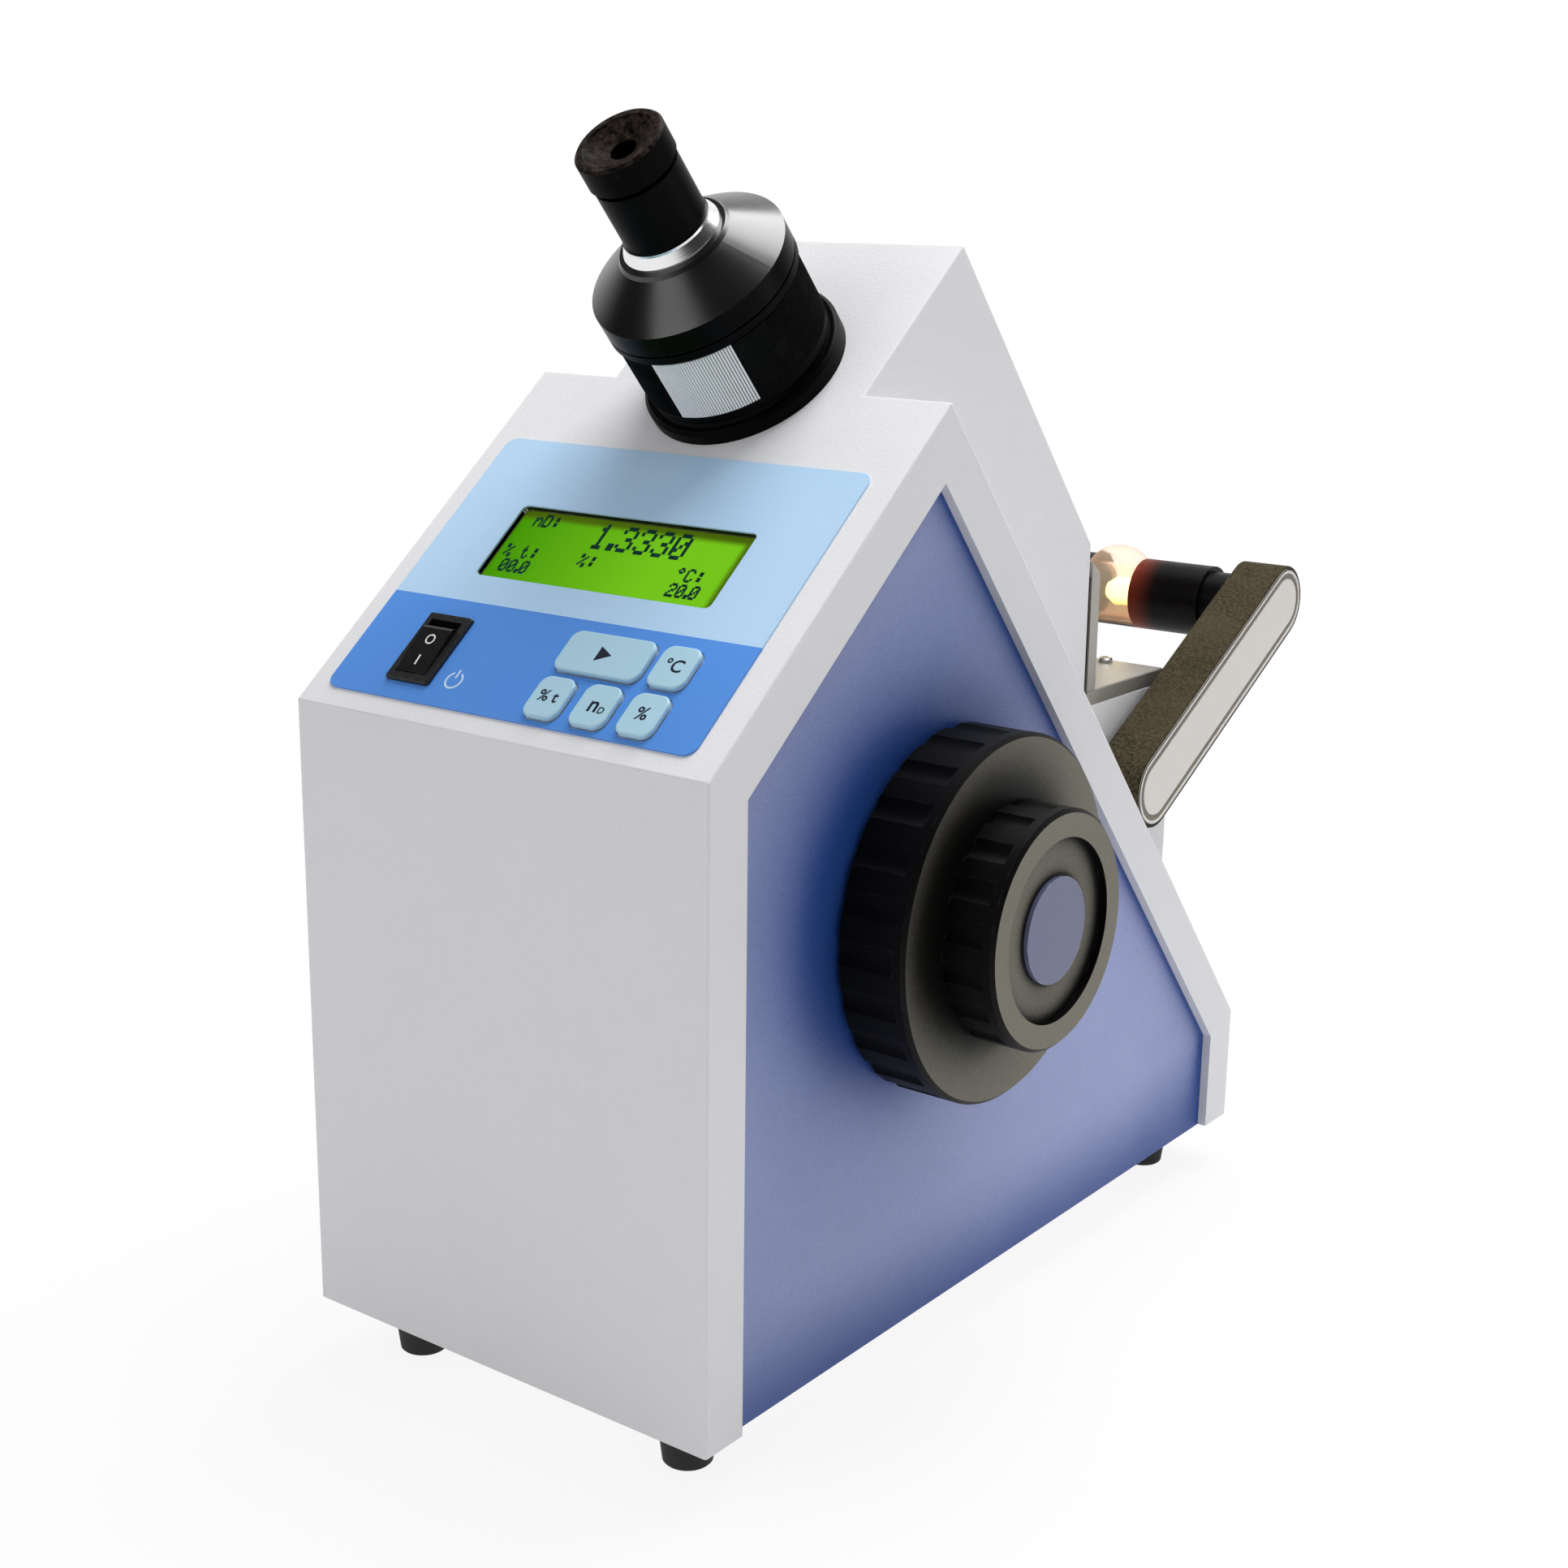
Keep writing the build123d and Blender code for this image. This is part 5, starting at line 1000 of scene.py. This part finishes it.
class DressTelescope(bpy.types.Operator):
    """Finish the sighting telescope and rib the grip of its dispersion wheel"""

    bl_idname = "refractometer.telescope"
    bl_label = "Telescope"

    def execute(self, context):
        def facing_up(tree):
            """How squarely a face looks up along the telescope."""
            return on_vectors(tree, "DOT_PRODUCT", surface_normal(tree), SIGHT_OUT)

        def speckled_dish(tree):
            """The cup's faces that look up along the telescope are a speckled dark brown; its sides stay
            black.
            """
            texture = place_group(tree, "grain", Size=0.0004, Mottle_Size=0.002)
            speckle = scaled(tree, texture["Mottle"], 1.1, -0.98)
            dust = calculate(tree, "ADD", facing_up(tree), speckle, clamp=True)
            return mix_colour(tree, dust, (0.0025, 0.002, 0.002), (0.045, 0.032, 0.026))

        rings = (telescope_matrix().translation, SIGHT_OUT)
        anodised = finish_material(
            "black_anodised", (0.0025, 0.0023, 0.0022), 0.28, grain=0.0006, depth=0.000006, contrast=0.2,
            edge=(0.04, 0.038, 0.036), wear=0.4, dust=0.0, turned=(*rings, 0.0003, 0.000002),
        )
        # Faces that look up along the telescope shine; its sides hardly do.
        tree = anodised.node_tree
        shine = ramp(tree, facing_up(tree), 0.1, 0.5, 0.04, 1.0)
        feed_named(tree, tree.nodes["Principled BSDF"], Specular_IOR_Level=shine)
        dress(anodised, "telescope_head", "telescope_tube", "lens_cell")
        knurled = finish_material(
            "black_knurl", (0.0018, 0.0018, 0.002), 0.4, grain=0.0005, depth=0.00001, contrast=0.3,
            edge=(0.03, 0.028, 0.026), dust=0.0, specular=0.04,
        )
        dress(knurled, "dispersion_wheel", "telescope_flange", "eyepiece_tube")
        cup = finish_material(
            "eyecup_plastic", (0.004, 0.0034, 0.0034), 0.42, grain=0.0006, contrast=0.5,
            edge=(0.06, 0.055, 0.05), wear=0.6, dust=0.0, specular=0.03, colour_socket=speckled_dish,
        )
        dress(cup, "eyecup")
        bright = finish_material(
            "turned_aluminium", (0.86, 0.86, 0.87), 0.24, depth=0.000002, contrast=0.05,
            edge=(1, 1, 1), metallic=1.0, dust=0.0, turned=(*rings, 0.0002, 0.000008),
        )
        dress(bright, "eyepiece_ring")
        glass = glass_material("optical_glass", (0.9, 0.95, 0.97), ior=1.52)
        dress(glass, "eyepiece_lenses", "telescope_lenses", "amici_prism_upper", "amici_prism_lower")
        painted_highlight_ribs = finish_material(
            "ribs_painted_highlight", (0.95, 0.95, 0.97), 0.42, grain=0.0005, depth=0.000004, contrast=0.1,
            edge=(0.98, 0.98, 0.99), dust=0.0,
        )
        self.grip(context.scene.refractometer_grip, knurled, painted_highlight_ribs)
        return {"FINISHED"}

    def grip(self, grip, black, bright):
        """Fine ribs round the drum, with a block of pale ones that are a painted highlight."""
        step = 2 * pi / grip.ribs
        rib = GRIP_RADIUS * step / 2 * 1.02
        # The pale block of ribs, from -92 to -40 degrees, is a painted highlight.
        start, end = radians(-92), radians(-40)
        lit = int((end - start) / step)
        for name, material, count, first, radius, size in (
            ("grip_ribs", black, grip.ribs - lit, end, GRIP_RADIUS, rib),
            ("grip_ribs_bright", bright, lit, start, GRIP_RADIUS + 0.04, rib * 0.82),
        ):
            ribs = rib_band(name, material, count, first, step, radius, size, grip.low, grip.high)
            ribs.transform(telescope_matrix())
            add_piece(name, ribs, None, "dispersion_wheel")


class DressHandwheel(bpy.types.Operator):
    """Finish the handwheel, its blue centre and the drive behind it"""

    bl_idname = "refractometer.handwheel"
    bl_label = "Handwheel"

    def execute(self, context):
        def painted_face_light_and_shade(tree):
            """Painted light: faces that look along the axis are a lit warm grey and the fluted rim a shaded
            black, and a painted shadow of near black falls where the knob stands in the way of the low
            light.
            """
            size = calculate(tree, "ABSOLUTE", part_of(tree, surface_normal(tree), "X"))
            knob_shadow = painted_shade_mask(tree, 0.045, 0.69, 0.53)
            face = mix_colour(tree, knob_shadow, (0.225, 0.213, 0.168), (0.003, 0.0025, 0.002))
            return mix_colour(tree, ramp(tree, size, 0.75, 0.97), (0.0015, 0.0015, 0.0015), face)

        plastic = finish_material(
            "handwheel_plastic", (0.1, 0.1, 0.09), 0.5, grain=0.0006, depth=0.00005, contrast=0.3,
            colour_socket=painted_face_light_and_shade, edge=(0.14, 0.13, 0.12), wear=0.35, dust=0.0, specular=0.12,
        )
        dress(plastic, "handwheel")
        cap = finish_material(
            "cap_blue", (0.165, 0.18, 0.295), 0.45, grain=0.0006, depth=0.00001,
            edge=(0.75, 0.77, 0.85), wear=0.6, dust=0.0,
        )
        dress(cap, "handwheel_cap")
        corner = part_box("handwheel")[0]
        axis = (0, corner.y + WHEEL_RADIUS * MM, corner.z + WHEEL_RADIUS * MM)
        steel = finish_material(
            "ground_steel", (0.6, 0.6, 0.6), 0.28, depth=0.000004, contrast=0.1,
            edge=(0.9, 0.9, 0.9), metallic=1.0, turned=(axis, SIDEWAYS, 0.0003, 0.000006),
        )
        dress(steel, "pinion_shaft", "hinge_pin", "arm_pivot")
        brass = finish_material(
            "cut_brass", (0.66, 0.47, 0.17), 0.32, depth=0.000008, contrast=0.12,
            edge=(0.9, 0.75, 0.4), metallic=1.0,
        )
        dress(brass, "sector_gear", "compensator_idler", "shaft_bush")
        casting = finish_material(
            "cast_aluminium", (0.52, 0.52, 0.51), 0.55, grain=0.0015, depth=0.0001, contrast=0.2,
            mottle=0.15, edge=(0.8, 0.8, 0.8), metallic=0.9,
        )
        dress(casting, "optics_chassis", "mirror_holder")
        silver = finish_material(
            "silvered_face", (0.92, 0.93, 0.94), 0.06, grain=0.004, depth=0.0000005, contrast=0.02,
            metallic=1.0, dust=0.0,
        )
        dress(silver, "fold_mirror")
        dress(glass_material("encoder_glass", (0.75, 0.8, 0.8)), "encoder_disc")
        mask = finish_material(
            "solder_mask", (0.02, 0.17, 0.07), 0.35, depth=0.00002, contrast=0.25,
            edge=(0.6, 0.5, 0.3), wear=0.4,
        )
        dress(mask, "main_board", "key_board")
        iron = finish_material(
            "laminations", (0.12, 0.1, 0.085), 0.5, grain=0.0008, depth=0.00008, contrast=0.4,
            edge=(0.4, 0.35, 0.3), metallic=0.5,
        )
        dress(iron, "transformer")
        return {"FINISHED"}


class DressStage(bpy.types.Operator):
    """Finish the nickel stage and the two hinged prisms in their jackets"""

    bl_idname = "refractometer.prism_stage"
    bl_label = "Stage and prisms"

    def execute(self, context):
        nickel = finish_material(
            "satin_nickel", (0.46, 0.44, 0.40), 0.42, grain=0.0008, depth=0.00001, contrast=0.12,
            mottle=0.08, edge=(0.75, 0.73, 0.7), wear=0.5, metallic=0.75, dust=0.0,
        )
        dress(nickel, "stage_plate", "prism_plate")
        screws = finish_material(
            "screw_zinc", (0.7, 0.69, 0.66), 0.3, grain=0.0008, depth=0.000005, contrast=0.1,
            edge=(0.9, 0.9, 0.9), metallic=1.0, dust=0.0,
        )
        dress(screws, "stage_screws", "prism_latch")
        jacket = finish_material(
            "jacket_black", (0.015, 0.015, 0.016), 0.4, grain=0.0007, depth=0.00002, contrast=0.2,
            edge=(0.2, 0.2, 0.2), wear=0.6, dust=0.06,
        )
        dress(jacket, "measuring_jacket", "illuminating_jacket")
        flint = glass_material("prism_glass", (0.93, 0.96, 0.93), ior=1.7)
        dress(flint, "measuring_prism", "illuminating_prism")
        low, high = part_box("illuminating_jacket")
        rows = ((low.y + 0.006) / MM, (high.y - 0.018) / MM)
        places = [(x, y, 0) for x in (-18.0, 18.0) for y in rows]
        caps = scatter("jacket_screws", screw_pattern("jacket_screw", 1.9, 1.2), places, screws)
        caps.transform(Matrix.Translation((0, 0, high.z)) @ Matrix.Scale(MM, 4))
        add_piece("jacket_screws", caps, None, "upper_prism")
        return {"FINISHED"}


class DressLamp(bpy.types.Operator):
    """Finish the swinging arm and light the lamp at its end"""

    bl_idname = "refractometer.lamp_arm"
    bl_label = "Lamp arm"

    def execute(self, context):
        def mouth_with_painted_lamp_light(tree):
            """Painted light: the tube's mouth is coloured dark red beside the lamp, as if lit by it."""
            mouth, inner = 0.0085, 0.0205
            along = part_of(tree, object_place(tree), "X")
            near = ramp(tree, along, inner, mouth, smooth=True)
            past = calculate(tree, "GREATER_THAN", along, mouth)
            red = calculate(tree, "MULTIPLY", near, past)
            return mix_colour(tree, red, (0.003, 0.002, 0.0018), (0.16, 0.022, 0.008))

        arm = finish_material(
            "arm_plastic", (0.085, 0.07, 0.042), 0.6, grain=0.0011, depth=0.00008, contrast=0.85,
            mottle=0.1, edge=(0.02, 0.018, 0.015), wear=0.6, dust=0.0, specular=0.02,
        )
        dress(arm, "lamp_arm")
        tube = finish_material(
            "lamp_tube_plastic", (0.005, 0.0035, 0.003), 0.4, grain=0.0008, contrast=0.4,
            edge=(0.05, 0.045, 0.04), wear=0.5, dust=0.0, specular=0.12, colour_socket=mouth_with_painted_lamp_light,
        )
        dress(tube, "lamp_tube")
        cover = finish_material(
            "cover_plastic", (0.74, 0.72, 0.67), 0.4, grain=0.0008, depth=0.000008, contrast=0.03,
            edge=(0.9, 0.89, 0.87), wear=0.4, dust=0.0,
        )
        dress(cover, "arm_cover")
        dress(self.glowing_glass(), "lamp_window")
        dress(self.lit_bulb(context.scene.refractometer_lamp.glow), "lamp_bulb")
        # The brown strip in the cover's groove is the groove's painted shade.
        groove = finish_material(
            "groove_painted_shade", (0.21, 0.175, 0.145), 0.5, grain=0.0006, depth=0.00001, contrast=0.1, dust=0.0,
        )
        # A band is drawn along X and raised along Z; the arm runs along Y and faces along X.
        across = Matrix(((0, 0, 1, 0), (1, 0, 0, 0), (0, 1, 0, 0), (0, 0, 0, 1)))
        turned = Matrix.Rotation(ARM_ANGLE, 4, "X") @ across @ Matrix.Scale(MM, 4)
        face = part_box("arm_cover")[1].x
        for name, outer, inner, sunk, material, slot in (
            ("cover_groove", 11.5, 9.3, 0.0005, groove, "arm_white"),
            ("cover_seal", 13.24, 12.7, -0.00001, tube, "arm_black"),
        ):
            ring = self.slot_ring(name, outer, inner)
            ring.transform(Matrix.Translation((face - sunk, *ARM_PIVOT)) @ turned)
            add_piece(name, ring, material, "lamp_arm")
        return {"FINISHED"}

    def slot_ring(self, name, outer, inner):
        """A thin flat band that follows the arm's outline."""
        shape = bmesh.new()
        loops = [
            [
                shape.verts.new((x, y, 0))
                for x, y in arc_points(ARM_LENGTH, 0, radius, -90, 90, 24)
                + arc_points(0, 0, radius, 90, 270, 24)
            ]
            for radius in (outer, inner)
        ]
        wall_between(shape, *loops)
        raise_faces(shape, 0.12)
        return drawn_mesh(shape, name)

    def lit_bulb(self, glow):
        """Hot light, yellow at its top and orange below."""
        material, tree, shader = new_material("lit_bulb")
        middle = middle_of("lamp_bulb").z
        level = part_of(tree, object_place(tree), "Z")
        fade = ramp(tree, level, middle - 0.006, middle - 0.001)
        warm = mix_colour(tree, fade, (1.0, 0.5, 0.06), (1.0, 0.93, 0.42))
        feed_named(tree, shader, Base_Color=warm, Emission_Color=warm, Emission_Strength=glow)
        return material

    def glowing_glass(self):
        """Thin warm glass with a painted glow from the bulb: pink at its edges, pale yellow where the light
        shines through.
        """
        material, tree, shader = new_material("lamp_glass")
        view = add_node(tree, "ShaderNodeLayerWeight")
        view.inputs["Blend"].default_value = 0.35
        mottle = place_group(tree, "grain", Size=0.004, Mottle_Size=0.012)["Mottle"]
        rim = scaled(tree, mottle, 0.25, view.outputs["Facing"])
        feed_named(
            tree, shader,
            Base_Color=mix_colour(tree, rim, (1.0, 0.95, 0.84), (0.95, 0.74, 0.66)),
            Emission_Color=mix_colour(tree, rim, (1.0, 0.82, 0.42), (1.0, 0.42, 0.25)),
            Emission_Strength=0.09, Transmission_Weight=0.92, IOR=1.04,
            Roughness=scaled(tree, mottle, 0.05, 0.3),
        )
        return material


class BuildStudio(bpy.types.Operator):
    """Set up the pale floor, soft lights, white background and camera"""

    bl_idname = "refractometer.studio"
    bl_label = "Studio"

    def execute(self, context):
        scene = context.scene
        self.floor()
        self.world(scene)
        self.lights()
        self.camera(scene)
        scene.view_settings.view_transform = "Standard"
        return {"FINISHED"}

    def floor(self):
        """Pale paper that keeps the shadow near the stand and is white farther out."""
        shape = bmesh.new()
        bmesh.ops.create_circle(shape, cap_ends=True, segments=96, radius=4.0)
        floor = linked("studio_floor", drawn_mesh(shape, "studio_floor", outward=False))
        material, tree, shader = new_material("floor_paper")
        paper = 0.88
        feed_named(tree, shader, Base_Color=(paper, paper, paper, 1), Roughness=0.9, Specular_IOR_Level=0.0)
        glow = add_node(tree, "ShaderNodeEmission")
        glow.inputs["Color"].default_value = (1, 1, 1, 1)
        reach = on_vectors(tree, "LENGTH", object_place(tree))
        whiteness = ramp(tree, reach, 0.2, 0.6, 0.88, 1.0, smooth=True)
        path = add_node(tree, "ShaderNodeLightPath").outputs
        seen = largest(tree, *(path[f"Is {kind} Ray"] for kind in ("Camera", "Glossy", "Transmission")))
        share = calculate(tree, "MULTIPLY", seen, whiteness)
        mix_surface(tree, share, shader.outputs[0], glow.outputs[0], "Material Output")
        floor.data.materials.append(material)

    def world(self, scene):
        """Soft light from above; the white backdrop also shows in metal and glass that face it."""
        world = bpy.data.worlds.new("studio")
        scene.world = world
        world.use_nodes = True
        tree = world.node_tree
        path = add_node(tree, "ShaderNodeLightPath").outputs
        place = add_node(tree, "ShaderNodeTexCoord").outputs["Generated"]
        sky = ramp(tree, part_of(tree, place, "Z"), 0.0, 0.8, 0.18, 0.58)
        side = ramp(tree, part_of(tree, place, "X"), 0.2, 0.9, 1.0, 0.86)
        for_gloss = scaled(tree, path["Is Glossy Ray"], -0.93, 1.0)
        strength = calculate(tree, "MULTIPLY", calculate(tree, "MULTIPLY", sky, for_gloss), side)
        soft = tree.nodes["Background"]
        feed_named(tree, soft, Color=(0.98, 0.98, 1.0, 1), Strength=strength)
        white = add_node(tree, "ShaderNodeBackground")
        white.inputs["Color"].default_value = (1, 1, 1, 1)
        backdrop = ramp(tree, on_vectors(tree, "DOT_PRODUCT", place, CAMERA_LOOK), 0.25, 0.75)
        glossy = calculate(tree, "MULTIPLY", path["Is Glossy Ray"], backdrop)
        seen = largest(tree, path["Is Camera Ray"], glossy, path["Is Transmission Ray"])
        mix_surface(tree, seen, soft.outputs[0], white.outputs[0], "World Output")

    def lights(self):
        aim = Vector((0, 0, 0.17))
        for name, place, size, power in (
            ("overhead_softbox", (0.1, 0.40, 1.34), 0.85, 16.6),
            ("front_fill", (-0.3, -1.4, 0.9), 0.8, 3.0),
            ("side_fill", (1.2, 0.75, 0.25), 0.5, 1.3),
        ):
            lamp = bpy.data.lights.new(name, "AREA")
            lamp.shape = "SQUARE"
            lamp.size = size
            lamp.energy = power
            holder = linked(name, lamp)
            holder.location = place
            holder.rotation_euler = (aim - Vector(place)).to_track_quat("-Z", "Y").to_euler()

    def camera(self, scene):
        data = bpy.data.cameras.new("camera")
        data.sensor_width = 36.0
        data.lens = 52.42
        holder = linked("camera", data)
        look = CAMERA_LOOK.to_track_quat("-Z", "Y").to_matrix().to_4x4()
        roll = Matrix.Rotation(radians(0.75), 4, "Z")
        holder.matrix_world = Matrix.Translation(CAMERA_PLACE) @ look @ roll
        scene.camera = holder


class RefractometerPanel(bpy.types.Panel):
    """Lists the refractometer's settings and the steps that dress it"""

    bl_idname = "VIEW3D_PT_refractometer"
    bl_label = "Refractometer"
    bl_space_type = "VIEW_3D"
    bl_region_type = "UI"
    bl_category = "Refractometer"

    def draw(self, context):
        layout = self.layout
        for name, group in SETTINGS.items():
            values = getattr(context.scene, name)
            box = layout.box()
            for field in group.__annotations__:
                box.prop(values, field)
        for step in STEPS:
            layout.operator(step.bl_idname)


SETTINGS = {
    "refractometer_paint": PaintSettings,
    "refractometer_panel": PanelSettings,
    "refractometer_grip": GripSettings,
    "refractometer_lamp": LampSettings,
}
STEPS = (
    DressHousing, DressPanel, DressDisplay, DressSwitch, DressTelescope, DressHandwheel,
    DressStage, DressLamp, BuildStudio,
)


def register():
    for name, group in SETTINGS.items():
        bpy.utils.register_class(group)
        setattr(bpy.types.Scene, name, bpy.props.PointerProperty(type=group))
    for step in STEPS:
        bpy.utils.register_class(step)
    bpy.utils.register_class(RefractometerPanel)


def unregister():
    bpy.utils.unregister_class(RefractometerPanel)
    for step in reversed(STEPS):
        bpy.utils.unregister_class(step)
    for name, group in SETTINGS.items():
        delattr(bpy.types.Scene, name)
        bpy.utils.unregister_class(group)


def main():
    register()
    bpy.ops.refractometer.housing()
    bpy.ops.refractometer.panel()
    bpy.ops.refractometer.display()
    bpy.ops.refractometer.power_switch()
    bpy.ops.refractometer.telescope()
    bpy.ops.refractometer.handwheel()
    bpy.ops.refractometer.prism_stage()
    bpy.ops.refractometer.lamp_arm()
    bpy.ops.refractometer.studio()


if __name__ == "__main__":
    main()
